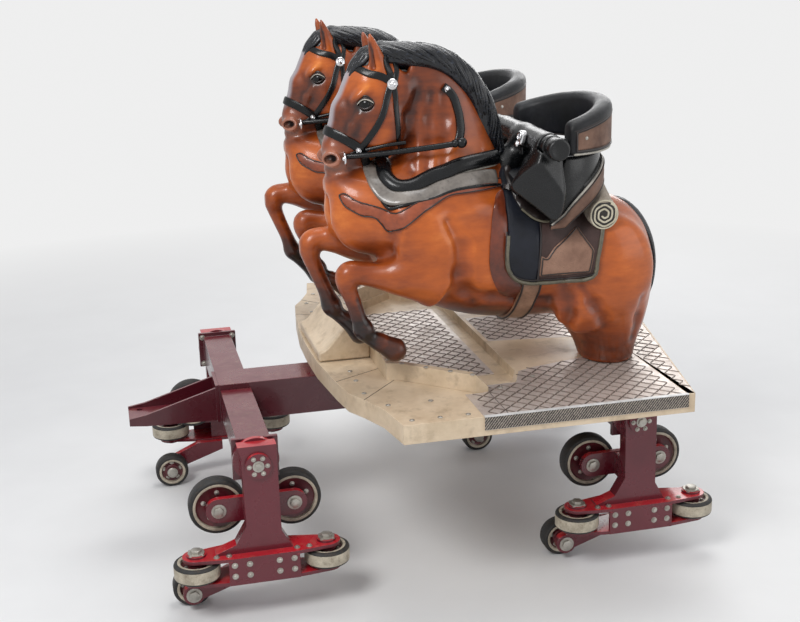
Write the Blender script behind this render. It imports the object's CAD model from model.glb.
"""Looks of the lead car with two horse seats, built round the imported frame. Lengths are in metres."""

import math

import bmesh
import bpy
import numpy as np
import openvdb as vdb
from mathutils import Matrix, Vector
from mathutils.bvhtree import BVHTree


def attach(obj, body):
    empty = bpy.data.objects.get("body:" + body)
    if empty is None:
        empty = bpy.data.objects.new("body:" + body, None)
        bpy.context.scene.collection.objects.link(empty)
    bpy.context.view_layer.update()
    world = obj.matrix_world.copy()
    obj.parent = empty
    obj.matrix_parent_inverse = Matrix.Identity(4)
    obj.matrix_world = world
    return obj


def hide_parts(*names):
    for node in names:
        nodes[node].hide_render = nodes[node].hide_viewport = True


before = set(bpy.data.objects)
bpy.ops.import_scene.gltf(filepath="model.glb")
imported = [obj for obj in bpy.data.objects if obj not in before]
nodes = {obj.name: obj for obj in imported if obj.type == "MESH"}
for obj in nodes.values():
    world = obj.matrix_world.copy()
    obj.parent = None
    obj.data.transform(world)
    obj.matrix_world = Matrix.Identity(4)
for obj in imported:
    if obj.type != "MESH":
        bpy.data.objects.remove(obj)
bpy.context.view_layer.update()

MM = 0.001
SIDES = {"left": 0.420, "right": -0.420}
CORNERS = ["rear_left", "rear_right", "front_left", "front_right"]
rng = np.random.default_rng(7)


# Camera, where the photograph was taken from, turned to the car's middle
camera_place = Vector((1.02, 4.34, 2.11))
camera_aim = Vector((-0.01, 0.0, 0.80))
camera_roll = math.radians(-1.4)
camera_lens = 56.5


def add_camera():
    data = bpy.data.cameras.new("camera")
    data.lens = camera_lens
    camera = bpy.data.objects.new("camera", data)
    camera.location = camera_place
    turn = (camera_aim - camera_place).to_track_quat("-Z", "Y").to_matrix().to_4x4()
    camera.matrix_world = Matrix.Translation(camera_place) @ turn @ Matrix.Rotation(camera_roll, 4, "Z")
    bpy.context.collection.objects.link(camera)
    bpy.context.scene.camera = camera


# Materials
class Nodes:
    """A shorthand for the nodes of a material or the world."""

    def __init__(self, tree):
        self.tree = tree

    def put(self, socket, value):
        if isinstance(value, bpy.types.NodeSocket):
            self.tree.links.new(value, socket)
        elif hasattr(socket.default_value, "__len__") and len(socket.default_value) == 4 and len(value) == 3:
            socket.default_value = (*value, 1)
        else:
            socket.default_value = value

    def node(self, kind, inputs=(), out=0, **props):
        n = self.tree.nodes.new("ShaderNode" + kind)
        for key, value in props.items():
            setattr(n, key, value)
        for key, value in dict(inputs).items():
            self.put(n.inputs[key], value)
        return n.outputs[out]

    def place(self, scale=(1, 1, 1), turn=(0, 0, 0)):
        coords = self.node("TexCoord", out="Object")
        return self.node("Mapping", {"Vector": coords, "Scale": scale, "Rotation": turn})

    def noise(self, scale, detail=4, rough=0.55, stretch=(1, 1, 1)):
        return self.node("TexNoise", {"Vector": self.place(stretch), "Scale": scale, "Detail": detail,
                                      "Roughness": rough}, "Fac")

    def math(self, op, a, b=0.0, clamp=False):
        return self.node("Math", {0: a, 1: b}, operation=op, use_clamp=clamp)

    def span(self, value, low, high, to_low=0.0, to_high=1.0):
        return self.node("MapRange", {"Value": value, "From Min": low, "From Max": high, "To Min": to_low,
                                      "To Max": to_high})

    def mix(self, fac, a, b):
        """The colour a where fac is 0, and b where it is 1."""
        return self.node("Mix", {0: fac, 6: a, 7: b}, 2, data_type="RGBA")

    def ramp(self, fac, stops):
        """Stops are places and colours as they show on screen."""
        n = self.tree.nodes.new("ShaderNodeValToRGB")
        cuts = n.color_ramp.elements
        while len(cuts) < len(stops):
            cuts.new(0.5)
        for cut, (place, colour) in zip(cuts, stops):
            cut.position = place
            cut.color = (*srgb(*colour), 1)
        self.put(n.inputs[0], fac)
        return n.outputs[0]

    def attr(self, name):
        return self.node("Attribute", out="Fac", attribute_name=name)

    def bump(self, height, distance, strength=1.0, normal=None):
        ins = {"Height": height, "Distance": distance, "Strength": strength}
        if normal:
            ins["Normal"] = normal
        return self.node("Bump", ins, "Normal")


class Shade(Nodes):
    """A material round its main shader, whose sockets are set by name."""

    def __init__(self, name, **sockets):
        self.mat = bpy.data.materials.new(name)
        self.mat.use_nodes = True
        super().__init__(self.mat.node_tree)
        self.bsdf = self.tree.nodes["Principled BSDF"]
        for key, value in sockets.items():
            self.set(key.replace("_", " ").title().replace("Ior", "IOR"), value)

    def set(self, key, value):
        self.put(self.bsdf.inputs[key], value)


def srgb(r, g, b):
    """A colour given as it shows on screen, 0 to 255, turned to linear light."""
    return tuple((c / 255 / 12.92) if c < 11 else ((c / 255 + 0.055) / 1.055) ** 2.4 for c in (r, g, b))


def mottled(name, dark, light, scale=9, rough=(0.35, 0.5), grain=0.0, grain_scale=400, metal=0.0, coat=0.0,
            dirt=None, dirt_amount=0.5, **sockets):
    """A finish whose colour and gloss vary softly, with fine grain and dirt that gathers in patches."""
    s = Shade(name, metallic=metal, coat_weight=coat, coat_roughness=0.12, **sockets)
    fine = s.noise(scale * 7, 4)
    both = s.math("ADD", s.math("MULTIPLY", s.noise(scale, 5), 0.7), s.math("MULTIPLY", fine, 0.3))
    colour = s.ramp(both, [(0.36, dark), (0.64, light)])
    gloss = s.span(fine, 0.3, 0.7, rough[0], rough[1])
    if dirt:
        patch = s.span(s.noise(scale * 2.3, 7, 0.65), 0.52, 0.72)
        colour = s.mix(s.math("MULTIPLY", patch, dirt_amount), colour, srgb(*dirt))
        gloss = s.math("ADD", gloss, s.math("MULTIPLY", patch, 0.2), clamp=True)
    s.set("Base Color", colour)
    s.set("Roughness", gloss)
    if grain:
        s.set("Normal", s.bump(s.noise(grain_scale, 3, 0.6), grain))
    return s.mat


def leather(name, dark, light, rough=(0.38, 0.55), cells=260, depth=0.0005):
    """Grained leather: small cells with creases between them and worn, paler patches."""
    s = Shade(name, coat_weight=0.05, coat_roughness=0.35, specular_ior_level=0.3)
    cell = s.node("TexVoronoi", {"Vector": s.place(), "Scale": cells}, "Distance",
                  feature="DISTANCE_TO_EDGE")
    crease = s.span(cell, 0.0, 0.09)
    wear = s.noise(14, 6, 0.6)
    colour = s.ramp(wear, [(0.34, dark), (0.66, light)])
    s.set("Base Color", s.mix(s.span(crease, 0, 1, 0.35, 0.0), colour, tuple(0.4 * c for c in srgb(*dark))))
    s.set("Roughness", s.span(wear, 0.3, 0.7, rough[1], rough[0]))
    s.set("Normal", s.bump(crease, depth, 0.6, s.bump(s.noise(60, 3), 0.0012, 0.5)))
    return s.mat


def coat_material():
    """Airbrushed chestnut lacquer: the tone, blaze and dark parts are laid on the mesh as attributes."""
    s = Shade("chestnut_lacquer", coat_weight=0.28, coat_roughness=0.12, specular_ior_level=0.35)
    streak = s.noise(26, 5, 0.6, stretch=(0.5, 1, 1.6))
    cloud = s.noise(5, 4)
    drift = s.math("ADD", s.span(streak, 0.3, 0.7, -0.07, 0.07), s.span(cloud, 0.3, 0.7, -0.1, 0.1))
    tone = s.math("ADD", s.attr("tone"), drift, clamp=True)
    colour = s.ramp(tone, [(0.0, (26, 12, 9)), (0.25, (76, 32, 15)), (0.5, (138, 62, 22)),
                           (0.76, (186, 92, 30)), (1.0, (224, 132, 58))])
    for part, over in (("blaze", (158, 150, 154)), ("flesh", (176, 120, 98)), ("black", (24, 20, 21))):
        colour = s.mix(s.attr(part), colour, srgb(*over))
    s.set("Base Color", colour)
    s.set("Roughness", s.span(cloud, 0.3, 0.7, 0.3, 0.42))
    s.set("Normal", s.bump(s.noise(70, 4, 0.6), 0.0008, 0.5))
    return s.mat


def hair_material():
    """Blue-black lacquer with fine paler strands."""
    s = Shade("mane_lacquer", coat_weight=0.22, coat_roughness=0.2, specular_ior_level=0.4)
    strand = s.noise(230, 3, 0.6, stretch=(0.25, 1.2, 0.6))
    s.set("Base Color", s.ramp(strand, [(0.3, (4, 5, 7)), (0.6, (15, 18, 25)), (0.78, (50, 58, 72))]))
    s.set("Roughness", s.span(strand, 0.3, 0.7, 0.2, 0.34))
    s.set("Normal", s.bump(strand, 0.0012, 0.7))
    return s.mat


def plate_material():
    """Worn aluminium tread plate: bright tops, dull grey-brown grime between them."""
    s = Shade("tread_aluminium", metallic=0.45)
    grime = s.noise(16, 7, 0.68)
    fine = s.noise(190, 3)
    colour = s.ramp(grime, [(0.3, (184, 172, 163)), (0.55, (208, 198, 190)), (0.75, (226, 219, 213))])
    s.set("Base Color", s.mix(s.span(fine, 0.45, 0.8, 0, 0.25), colour, srgb(112, 98, 88)))
    s.set("Roughness", s.span(grime, 0.3, 0.7, 0.58, 0.36))
    s.set("Normal", s.bump(fine, 0.0004, 0.5))
    return s.mat


def two_tone_paint(name, top, side, rough=(0.22, 0.36)):
    """Gloss paint in one colour on faces that look up and another on the sides, dusty on top."""
    s = Shade(name, coat_weight=0.35, coat_roughness=0.1)
    up = s.node("SeparateXYZ", {0: s.node("NewGeometry", out="Normal")}, "Z")
    cloud = s.noise(11, 6)
    side = srgb(*side)
    colour = s.mix(s.span(up, 0.55, 0.75), side, srgb(*top))
    colour = s.mix(s.span(cloud, 0.5, 0.8, 0, 0.35), colour, tuple(0.45 * c for c in side))
    dust = s.math("MULTIPLY", s.span(up, 0.6, 0.95), s.span(s.noise(30, 7, 0.7), 0.5, 0.75, 0, 0.25))
    s.set("Base Color", s.mix(dust, colour, srgb(168, 140, 112)))
    s.set("Roughness", s.span(cloud, 0.3, 0.7, rough[0], rough[1]))
    s.set("Normal", s.bump(s.noise(85, 3), 0.0006, 0.4))
    return s.mat


def hatch_material():
    """Black edge tape with fine slanting white marks."""
    s = Shade("edge_hatch", roughness=0.55)
    slant = s.place(turn=(0, math.radians(38), 0))
    wave = s.node("TexWave", {"Vector": slant, "Scale": 44, "Distortion": 2.5, "Detail": 2,
                              "Detail Scale": 6}, "Fac")
    s.set("Base Color", s.ramp(wave, [(0.55, (34, 30, 28)), (0.72, (160, 150, 138))]))
    s.set("Normal", s.bump(wave, 0.0006, 0.5))
    return s.mat


MAT = {
    "coat": coat_material(),
    "hair": hair_material(),
    "plate": plate_material(),
    "hatch": hatch_material(),
    "red": two_tone_paint("red_paint", (186, 32, 44), (96, 20, 34)),
    "maroon": two_tone_paint("maroon_paint", (104, 26, 38), (74, 18, 28)),
    "pad": leather("black_foam_skin", (8, 9, 12), (20, 22, 28), (0.34, 0.5), 420, 0.0003),
    "patch": leather("brown_patch", (96, 70, 58), (134, 102, 84), (0.5, 0.65), 330, 0.0004),
    "navy": leather("navy_flap", (10, 13, 22), (20, 24, 36), (0.36, 0.52)),
    "brown": leather("brown_flap", (50, 35, 32), (72, 52, 48), (0.4, 0.55)),
    "tan": leather("tan_panel", (124, 92, 76), (158, 122, 102), (0.42, 0.58)),
    "tack": mottled("black_lacquer", (5, 6, 7), (15, 17, 20), 22, (0.2, 0.32), 0.0003, 300, coat=0.1,
                    specular_ior_level=0.3),
    "satin": mottled("satin_black", (9, 10, 11), (19, 20, 22), 12, (0.22, 0.32), 0.0002, 900,
                     specular_ior_level=0.42),
    "skirt": mottled("red_brown_skirt", (66, 27, 15), (112, 48, 24), 12, (0.28, 0.4), coat=0.25),
    "breast": mottled("breast_strap", (112, 50, 26), (156, 74, 38), 12, (0.28, 0.4), coat=0.25),
    "girth": mottled("girth_webbing", (112, 80, 60), (148, 112, 88), 16, (0.35, 0.5), coat=0.3),
    "band": mottled("taupe_band", (98, 92, 86), (138, 130, 122), 14, (0.26, 0.4), coat=0.4),
    "piping": mottled("pale_piping", (150, 146, 136), (196, 190, 178), 30, (0.35, 0.5)),
    "olive": mottled("olive_piping", (70, 66, 54), (104, 98, 80), 30, (0.35, 0.5)),
    "dark": mottled("dark_piping", (22, 17, 16), (42, 32, 30), 30, (0.3, 0.45)),
    "roll": mottled("bedroll_cloth", (138, 126, 112), (176, 164, 148), 16, (0.7, 0.85), 0.0008, 620),
    "cream": mottled("bedroll_edge", (176, 168, 146), (206, 198, 176), 30, (0.6, 0.8)),
    "chrome": mottled("chrome", (205, 205, 208), (226, 226, 228), 20, (0.08, 0.2), metal=1.0),
    "deck": mottled("beige_gelcoat", (196, 174, 144), (220, 200, 172), 7, (0.34, 0.5), 0.0003, 240,
                    dirt=(132, 112, 88), dirt_amount=0.45),
    "steel": mottled("oiled_steel", (84, 84, 86), (132, 132, 134), 24, (0.3, 0.5), metal=0.9,
                     dirt=(48, 36, 30)),
    "zinc": mottled("zinc_bolts", (150, 146, 138), (186, 182, 174), 40, (0.35, 0.5), metal=0.8),
    "rubber": mottled("wheel_tread", (22, 22, 23), (40, 39, 38), 30, (0.55, 0.75), 0.0005, 300,
                      dirt=(96, 80, 66), dirt_amount=0.4),
    "lug": mottled("worn_lugs", (82, 70, 62), (126, 112, 102), 24, (0.34, 0.5), metal=0.3, dirt=(64, 52, 44),
                   dirt_amount=0.4),
    "hub": mottled("hub_paint", (70, 20, 28), (100, 30, 38), 20, (0.3, 0.45), coat=0.2, dirt=(70, 54, 44)),
    "rim": mottled("worn_rim", (150, 140, 122), (196, 186, 166), 26, (0.45, 0.6), dirt=(82, 66, 54)),
    "grease": mottled("grease", (16, 13, 12), (34, 28, 24), 30, (0.25, 0.5)),
    "white": mottled("white_trim", (196, 196, 194), (226, 226, 224), 20, (0.4, 0.5), dirt=(120, 108, 96),
                     dirt_amount=0.3),
    "lid": mottled("eyelid", (24, 14, 12), (46, 24, 18), 60, (0.2, 0.3)),
    "pupil": mottled("pupil", (2, 2, 2), (5, 4, 5), 60, (0.03, 0.06), specular_ior_level=0.35),
    "eye": mottled("eye", (6, 4, 4), (18, 11, 8), 60, (0.04, 0.07), specular_ior_level=0.3)}


def finishes(keys):
    return [MAT[key] for key in keys.split()]


# Meshes
def new_object(name, points, faces, materials, body="root", slot=None, replaces=(), smooth=True, which=None):
    """A mesh that rides on a body. materials are keys in one text, and which gives each face's material."""
    mesh = bpy.data.meshes.new(name)
    mesh.from_pydata([tuple(map(float, p)) for p in points], [], [tuple(map(int, f)) for f in faces])
    mesh.update()
    obj = bpy.data.objects.new(name, mesh)
    bpy.context.collection.objects.link(obj)
    for mat in finishes(materials):
        mesh.materials.append(mat)
    if which is not None:
        mesh.polygons.foreach_set("material_index", np.asarray(which, dtype=np.int32))
    mesh.polygons.foreach_set("use_smooth", np.full(len(mesh.polygons), smooth))
    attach(obj, body)
    if replaces:
        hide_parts(*replaces)
    return obj


class Bag:
    """Collects the points and faces of many pieces that become one mesh."""

    def __init__(self):
        self.points, self.faces, self.which = [], [], []

    def add(self, points, faces, material=0):
        """material is one number, or a list with one for each face."""
        start = len(self.points)
        self.points.extend(tuple(p) for p in points)
        self.faces.extend(tuple(i + start for i in f) for f in faces)
        self.which.extend(material if isinstance(material, list) else [material] * len(faces))

    def loft(self, rings, material=0):
        """A closed skin over rings of points."""
        rings = np.asarray(rings)
        self.add(rings.reshape(-1, 3), ring_faces(*rings.shape[:2]), material)

    def rod(self, points, shape, ups, material=0):
        """A loft along a path, as path_rings makes it."""
        self.loft(path_rings(points, shape, ups), material)

    def done(self, name, materials, y=0.0, **keys):
        """The mesh as an object, moved sideways by y."""
        points = np.array(self.points, float) + (0, y, 0)
        return new_object(name, points, self.faces, materials, which=self.which, **keys)


def curve(rows, steps):
    """Rows on a smooth curve through the given rows, as the solids have them."""
    r = np.array(rows, float)
    last = len(r) - 1
    out = []
    for i in range(last):
        a, b, c, d = r[max(i - 1, 0)], r[i], r[i + 1], r[min(i + 2, last)]
        for t in np.arange(steps) / steps:
            bend = a - 2.5 * b + 2 * c - d / 2 + t * (1.5 * (b - c) + (d - a) / 2)
            out.append(b + t * ((c - a) / 2 + t * bend))
    return np.array(out + [r[last]])


def ring_faces(count, sides):
    """Faces between rings of points, and one over each end."""
    faces = [(a + j, a + (j + 1) % sides, a + sides + (j + 1) % sides, a + sides + j)
             for a in range(0, (count - 1) * sides, sides) for j in range(sides)]
    return faces + [tuple(reversed(range(sides))), tuple(range((count - 1) * sides, count * sides))]


def turn_steps(sides):
    return np.linspace(0, 2 * math.pi, sides, endpoint=False)


def cross_ring(row, sides):
    """An ellipse across the body, from a row of low x, low z, high x, high z and half width."""
    low, high = np.array(row[0:2]), np.array(row[2:4])
    mid, half = (low + high) / 2, (high - low) / 2
    a = turn_steps(sides)
    return np.stack([mid[0] + half[0] * np.cos(a), row[4] * np.sin(a), mid[1] + half[1] * np.cos(a)], 1)


def level_ring(row, y, sides):
    """A level ellipse, from a row of z, x of the middle, half length and half width."""
    a = turn_steps(sides)
    return np.stack([row[1] + row[2] * np.cos(a), y - row[3] * np.sin(a), np.full(sides, float(row[0]))], 1)


def path_rings(points, shape, up=(0, 0, 1)):
    """Rings along a path: shape gives each ring's outline as pairs across and along the thickness."""
    p = np.array(points, float)
    along = unit(np.gradient(p, axis=0))
    across = unit(np.cross(np.broadcast_to(np.array(up, float), p.shape), along))
    top = np.cross(along, across)
    rings = []
    for i in range(len(p)):
        o = np.asarray(shape(i) if callable(shape) else shape)
        rings.append(p[i] + o[:, :1] * across[i] + o[:, 1:] * top[i])
    return np.array(rings)


def unit(rows):
    return rows / np.linalg.norm(rows, axis=-1, keepdims=True)


def round_outline(width, height, sides=8, power=1.0):
    """An oval, or near a rectangle where the power is small."""
    a = turn_steps(sides)
    c, s = np.cos(a), np.sin(a)
    return np.stack([width * np.sign(c) * abs(c) ** power, height * np.sign(s) * abs(s) ** power], 1)


def tube(bag, points, radius, sides=8, material=0, up=(0, 0, 1)):
    """A closed tube; radius is one number or one for each point."""
    r = np.broadcast_to(np.asarray(radius, float), (len(points),))
    bag.rod(points, lambda i: round_outline(r[i], r[i], sides), up, material)


def lathe(bag, profile, centre, axis, sides=48, material=0, materials=None):
    """Turns a profile of (along, radius) pairs round an axis; materials gives one for each stretch."""
    axis = Vector(axis).normalized()
    side = axis.orthogonal().normalized()
    a = turn_steps(sides)
    round_dir = np.outer(np.cos(a), side) + np.outer(np.sin(a), axis.cross(side))
    rings = [np.array(centre) + t * np.array(axis) + r * round_dir for t, r in profile]
    tones = materials or [material] * (len(profile) - 1)
    *faces, low, high = ring_faces(len(profile), sides)
    which = [tone for tone in tones for _ in range(sides)]
    for cap, radius, tone in ((low, profile[0][1], tones[0]), (high, profile[-1][1], tones[-1])):
        if radius > 0:
            faces.append(cap)
            which.append(tone)
    bag.add(np.concatenate(rings), faces, which)


def bolt(bag, place, axis, size, height, material=0):
    """Hexagon head on a washer, standing on a surface."""
    washer = 1.45 * size
    lathe(bag, [(0, washer), (height * 0.25, washer), (height * 0.3, size * 1.1)], place, axis, 16, material)
    lathe(bag, [(height * 0.3, size), (height * 0.9, size), (height, size * 0.85)], place, axis, 6, material)


# Horse sections, as the solids have them, in millimetres: low x, low z, high x, high z, half width
barrel_table = [
    [-645, 940, -645, 1190, 110], [-600, 900, -600, 1258, 165], [-450, 880, -450, 1318, 192],
    [-223, 888, -223, 1362, 198], [-60, 926, -60, 1392, 196], [70, 1000, 70, 1412, 186],
    [165, 1105, 165, 1422, 158], [245, 1205, 245, 1424, 122], [305, 1290, 305, 1416, 74],
    [330, 1345, 330, 1392, 30]]
# z, x of the middle, half length, half width
haunch_table = [
    [700, -648, 92, 108], [770, -642, 112, 125], [850, -628, 150, 160], [960, -612, 184, 190],
    [1070, -604, 190, 195], [1170, -597, 168, 172], [1240, -592, 118, 125], [1275, -590, 62, 66]]
neck_table = [
    [228, 1225, -300, 1325, 170], [214, 1300, -264, 1402, 142], [190, 1375, -225, 1500, 108],
    [122, 1420, -185, 1600, 86], [85, 1462, -135, 1690, 74], [74, 1508, -62, 1755, 68],
    [84, 1545, 42, 1780, 64]]
head_table = [
    [46, 1560, 106, 1784, 58], [86, 1490, 198, 1762, 84], [124, 1462, 242, 1692, 88],
    [175, 1440, 277, 1600, 67], [212, 1411, 305, 1530, 54], [240, 1391, 324, 1478, 51],
    [262, 1388, 322, 1424, 36]]
# x, y, z, radius
near_leg_table = [
    [0, 108, 1052, 86], [86, 124, 1080, 60], [160, 126, 1084, 44], [235, 122, 1098, 37],
    [284, 120, 1104, 36], [290, 120, 1066, 31], [275, 120, 1020, 26], [254, 120, 950, 25],
    [240, 120, 912, 31], [220, 120, 884, 25], [190, 120, 864, 28], [134, 120, 832, 32]]
far_leg_table = [
    [95, -100, 1120, 82], [190, -112, 1146, 56], [268, -115, 1158, 42], [335, -115, 1168, 37],
    [362, -115, 1160, 35], [366, -115, 1120, 30], [350, -115, 1068, 26], [320, -115, 992, 25],
    [300, -115, 934, 31], [276, -115, 900, 25], [246, -115, 874, 28], [198, -115, 828, 32]]
ear_table = [[1715, 146, 28, 19], [1740, 151, 28, 20], [1762, 156, 25, 18], [1784, 162, 20, 15],
             [1805, 168, 14, 10], [1824, 173, 7, 6], [1832, 176, 3, 3]]
ear_y = 50
mane_table = [
    [-208, 1436, -272, 1442, 24], [-176, 1516, -252, 1540, 44], [-150, 1590, -222, 1625, 52],
    [-110, 1648, -172, 1705, 57], [-62, 1690, -106, 1762, 60], [0, 1712, -34, 1793, 60],
    [62, 1722, 44, 1802, 58], [118, 1724, 132, 1808, 52], [150, 1706, 190, 1786, 46],
    [168, 1676, 226, 1742, 38], [186, 1650, 250, 1690, 26], [205, 1632, 262, 1648, 10]]
tail_table = [
    [-612, 0, 1248, 18, 20], [-690, 0, 1232, 22, 34], [-752, 0, 1168, 24, 42], [-788, 0, 1080, 24, 44],
    [-796, 0, 985, 22, 38], [-778, 0, 890, 16, 24], [-752, 0, 830, 5, 6]]

# The greatest distance to a surface that a sculpture keeps, in metres
FAR = 0.06


class Sculpt:
    """A block of space that holds the distance to a surface, in metres. Its methods take places in mm."""

    def __init__(self, low, high, voxel=0.004):
        self.voxel = voxel
        self.low = np.round(np.array(low) * MM / voxel).astype(int)
        self.shape = tuple(np.round(np.array(high) * MM / voxel).astype(int) - self.low + 1)
        self.axes = [((self.low[i] + np.arange(self.shape[i])) * voxel).astype(np.float32) for i in range(3)]
        self.field = np.full(self.shape, FAR, dtype=np.float32)

    def loft(self, rings, k=0.0):
        """Joins a closed loft, given in millimetres, to the shape."""
        d = self.distance(rings)
        self.field = soft_min(self.field, d, k) if k else np.minimum(self.field, d)

    def distance(self, rings):
        rings = np.asarray(rings) * MM
        count, sides = rings.shape[:2]
        ends = np.stack([rings[0].mean(0), rings[-1].mean(0)])
        j = np.arange(sides)
        k = (j + 1) % sides
        tris = []
        for a in range(0, (count - 1) * sides, sides):
            tris.append(np.stack([a + j, a + k, a + sides + k], 1))
            tris.append(np.stack([a + j, a + sides + k, a + sides + j], 1))
        total, last = count * sides, (count - 1) * sides
        tris.append(np.stack([np.full(sides, total), k, j], 1))
        tris.append(np.stack([np.full(sides, total + 1), last + j, last + k], 1))
        grid = vdb.FloatGrid.createLevelSetFromPolygons(
            np.concatenate([rings.reshape(-1, 3), ends]).astype(np.float32),
            triangles=np.concatenate(tris).astype(np.uint32),
            transform=vdb.createLinearTransform(voxelSize=self.voxel), halfWidth=FAR / self.voxel)
        out = np.empty(self.shape, dtype=np.float32)
        grid.copyToArray(out, ijk=tuple(int(v) for v in self.low))
        return out

    def window(self, low, high):
        cuts = []
        for i in range(3):
            a = int(np.clip(math.floor(low[i] / self.voxel) - self.low[i], 0, self.shape[i]))
            b = int(np.clip(math.ceil(high[i] / self.voxel) - self.low[i] + 1, 0, self.shape[i]))
            cuts.append(slice(a, b))
        x, y, z = (self.axes[i][cuts[i]] for i in range(3))
        return tuple(cuts), x[:, None, None], y[None, :, None], z[None, None, :]

    def join(self, cuts, d, k, cut):
        old = self.field[cuts]
        self.field[cuts] = soft_max(old, -d, k) if cut else soft_min(old, d, k)

    def blob(self, centre, radii, turn=0.0, k=0.02, cut=False, one_side=False):
        """An ellipsoid, on both sides of the middle plane or on one; turn leans it about Y."""
        c, r = np.array(centre) * MM, np.array(radii) * MM
        reach = r.max() + 1.6 * k
        low, high = c - reach, c + reach
        if not one_side:
            low[1], high[1] = -(abs(c[1]) + reach), abs(c[1]) + reach
        cuts, x, y, z = self.window(low, high)
        x, z = x - c[0], z - c[2]
        y = (y if one_side else np.abs(y)) - c[1]
        ct, st = math.cos(math.radians(turn)), math.sin(math.radians(turn))
        x, z = ct * x - st * z, st * x + ct * z
        k0 = np.sqrt((x / r[0]) ** 2 + (y / r[1]) ** 2 + (z / r[2]) ** 2)
        k1 = np.sqrt((x / r[0] ** 2) ** 2 + (y / r[1] ** 2) ** 2 + (z / r[2] ** 2) ** 2) + 1e-9
        self.join(cuts, (k0 * (k0 - 1) / k1).astype(np.float32), k, cut)

    def ridge(self, rows, k=0.012, cut=False, one_side=False):
        """A rounded bar along rows of x, y, z and radius, on both sides of the middle plane."""
        rows = np.array(rows, float) * MM
        for a, b in zip(rows[:-1], rows[1:]):
            reach = max(a[3], b[3]) + 1.6 * k
            low, high = np.minimum(a, b)[:3] - reach, np.maximum(a, b)[:3] + reach
            if not one_side:
                low[1], high[1] = -high[1], high[1]
            cuts, x, y, z = self.window(low, high)
            y = y if one_side else np.abs(y)
            ab = (b - a)[:3]
            x, y, z = x - a[0], y - a[1], z - a[2]
            t = np.clip((x * ab[0] + y * ab[1] + z * ab[2]) / max(float(ab @ ab), 1e-12), 0, 1)
            d = np.sqrt((x - t * ab[0]) ** 2 + (y - t * ab[1]) ** 2 + (z - t * ab[2]) ** 2)
            self.join(cuts, (d - (a[3] + t * (b[3] - a[3]))).astype(np.float32), k, cut)

    def settle(self, rows, depth):
        """Rows of x, y, z and radius moved to where a cut along them is so many times the radius deep."""
        out = []
        for row in rows:
            p = np.array(row[:3], float) * MM
            for _ in range(6):
                f = self.sample(self.field, p + np.concatenate([np.zeros((1, 3)), np.eye(3) * self.voxel]))
                slope = f[1:] - f[0]
                p = p - slope / (np.linalg.norm(slope) + 1e-9) * (f[0] - (1 - depth) * row[3] * MM)
            out.append((*(p / MM), row[3]))
        return out

    def blur(self, passes=1):
        f = self.field
        for _ in range(passes):
            for axis in range(3):
                low = [slice(None)] * 3
                mid, high = list(low), list(low)
                low[axis], mid[axis], high[axis] = slice(None, -2), slice(1, -1), slice(2, None)
                f[tuple(mid)] = 0.25 * f[tuple(low)] + 0.5 * f[tuple(mid)] + 0.25 * f[tuple(high)]

    def curvature(self):
        """How much the surface bulges, positive, or folds in, negative, in 1/m."""
        f = self.field
        out = np.zeros_like(f)
        inner = tuple([slice(2, -2)] * 3)
        total = -6 * f[inner]
        for axis in range(3):
            for shift in (0, 4):
                cut = [slice(2, -2)] * 3
                cut[axis] = slice(shift, f.shape[axis] - 4 + shift)
                total = total + f[tuple(cut)]
        out[inner] = total / (2 * self.voxel) ** 2
        return out

    def sample(self, values, points):
        p = points / self.voxel - self.low
        i = np.clip(np.floor(p).astype(int), 0, np.array(self.shape) - 2)
        t = (p - i).astype(np.float32)
        out = np.zeros(len(points), np.float32)
        for corner in range(8):
            dx, dy, dz = corner & 1, corner >> 1 & 1, corner >> 2
            w = 1.0
            for axis, d in enumerate((dx, dy, dz)):
                w = w * (t[:, axis] if d else 1 - t[:, axis])
            out += w * values[i[:, 0] + dx, i[:, 1] + dy, i[:, 2] + dz]
        return out

    def mesh(self, step=1, keep=None, block=None):
        """The surface as points and quads. keep picks faces by their middles; block is a box in mm."""
        field, low = self.field, self.low
        if block:
            cuts = self.window(np.array(block[0]) * MM, np.array(block[1]) * MM)[0]
            field, low = field[cuts], low + [c.start for c in cuts]
        grid = vdb.FloatGrid(FAR)
        grid.copyFromArray(np.ascontiguousarray(field[::step, ::step, ::step]))
        grid.transform = vdb.createLinearTransform(voxelSize=self.voxel * step)
        points, _, quads = grid.convertToPolygons(isovalue=0.0, adaptivity=0.0)
        points = points + np.asarray(low) * self.voxel
        if keep:
            quads = quads[keep(points[quads].mean(axis=1))]
            used, quads = np.unique(quads, return_inverse=True)
            points, quads = points[used], quads.reshape(-1, 4)
        return points, quads


def soft_min(a, b, k):
    h = np.maximum(k - np.abs(a - b), 0) / k
    return np.minimum(a, b) - h * h * k / 4


def soft_max(a, b, k):
    return -soft_min(-a, -b, k)


def leg_rings(table):
    rows = curve(table, 5)
    return path_rings(rows[:, :3], lambda i: round_outline(rows[i, 3], rows[i, 3], 24), (0, 1, 0))


# Folds: rows of x, y, z and radius. They are cut into the horse and painted dark
body_folds = [
    [(-36, 214, 1270, 3), (-74, 212, 1180, 11), (-70, 205, 1090, 16), (-84, 190, 1010, 13),
     (-116, 170, 955, 4)],
    [(-90, 186, 1000, 3), (-180, 196, 972, 9), (-260, 196, 958, 8), (-360, 190, 950, 3)],
    [(-414, 206, 1030, 3), (-430, 200, 975, 12), (-446, 175, 915, 10), (-452, 150, 876, 4)],
    [(-478, 195, 1010, 3), (-522, 188, 950, 8), (-560, 184, 890, 6), (-578, 176, 850, 2)],
    [(-700, 170, 950, 3), (-714, 145, 870, 6), (-706, 118, 790, 3)]]
neck_folds = [[(x, 92, 1650, 2), (x + lean, 97, 1580, 8), (x + 2 * lean, 112, 1500, 9),
               (x + 3 * lean, 130, 1436, 3)] for x, lean in ((26, 16), (-16, 12), (-58, 8))]
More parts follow.
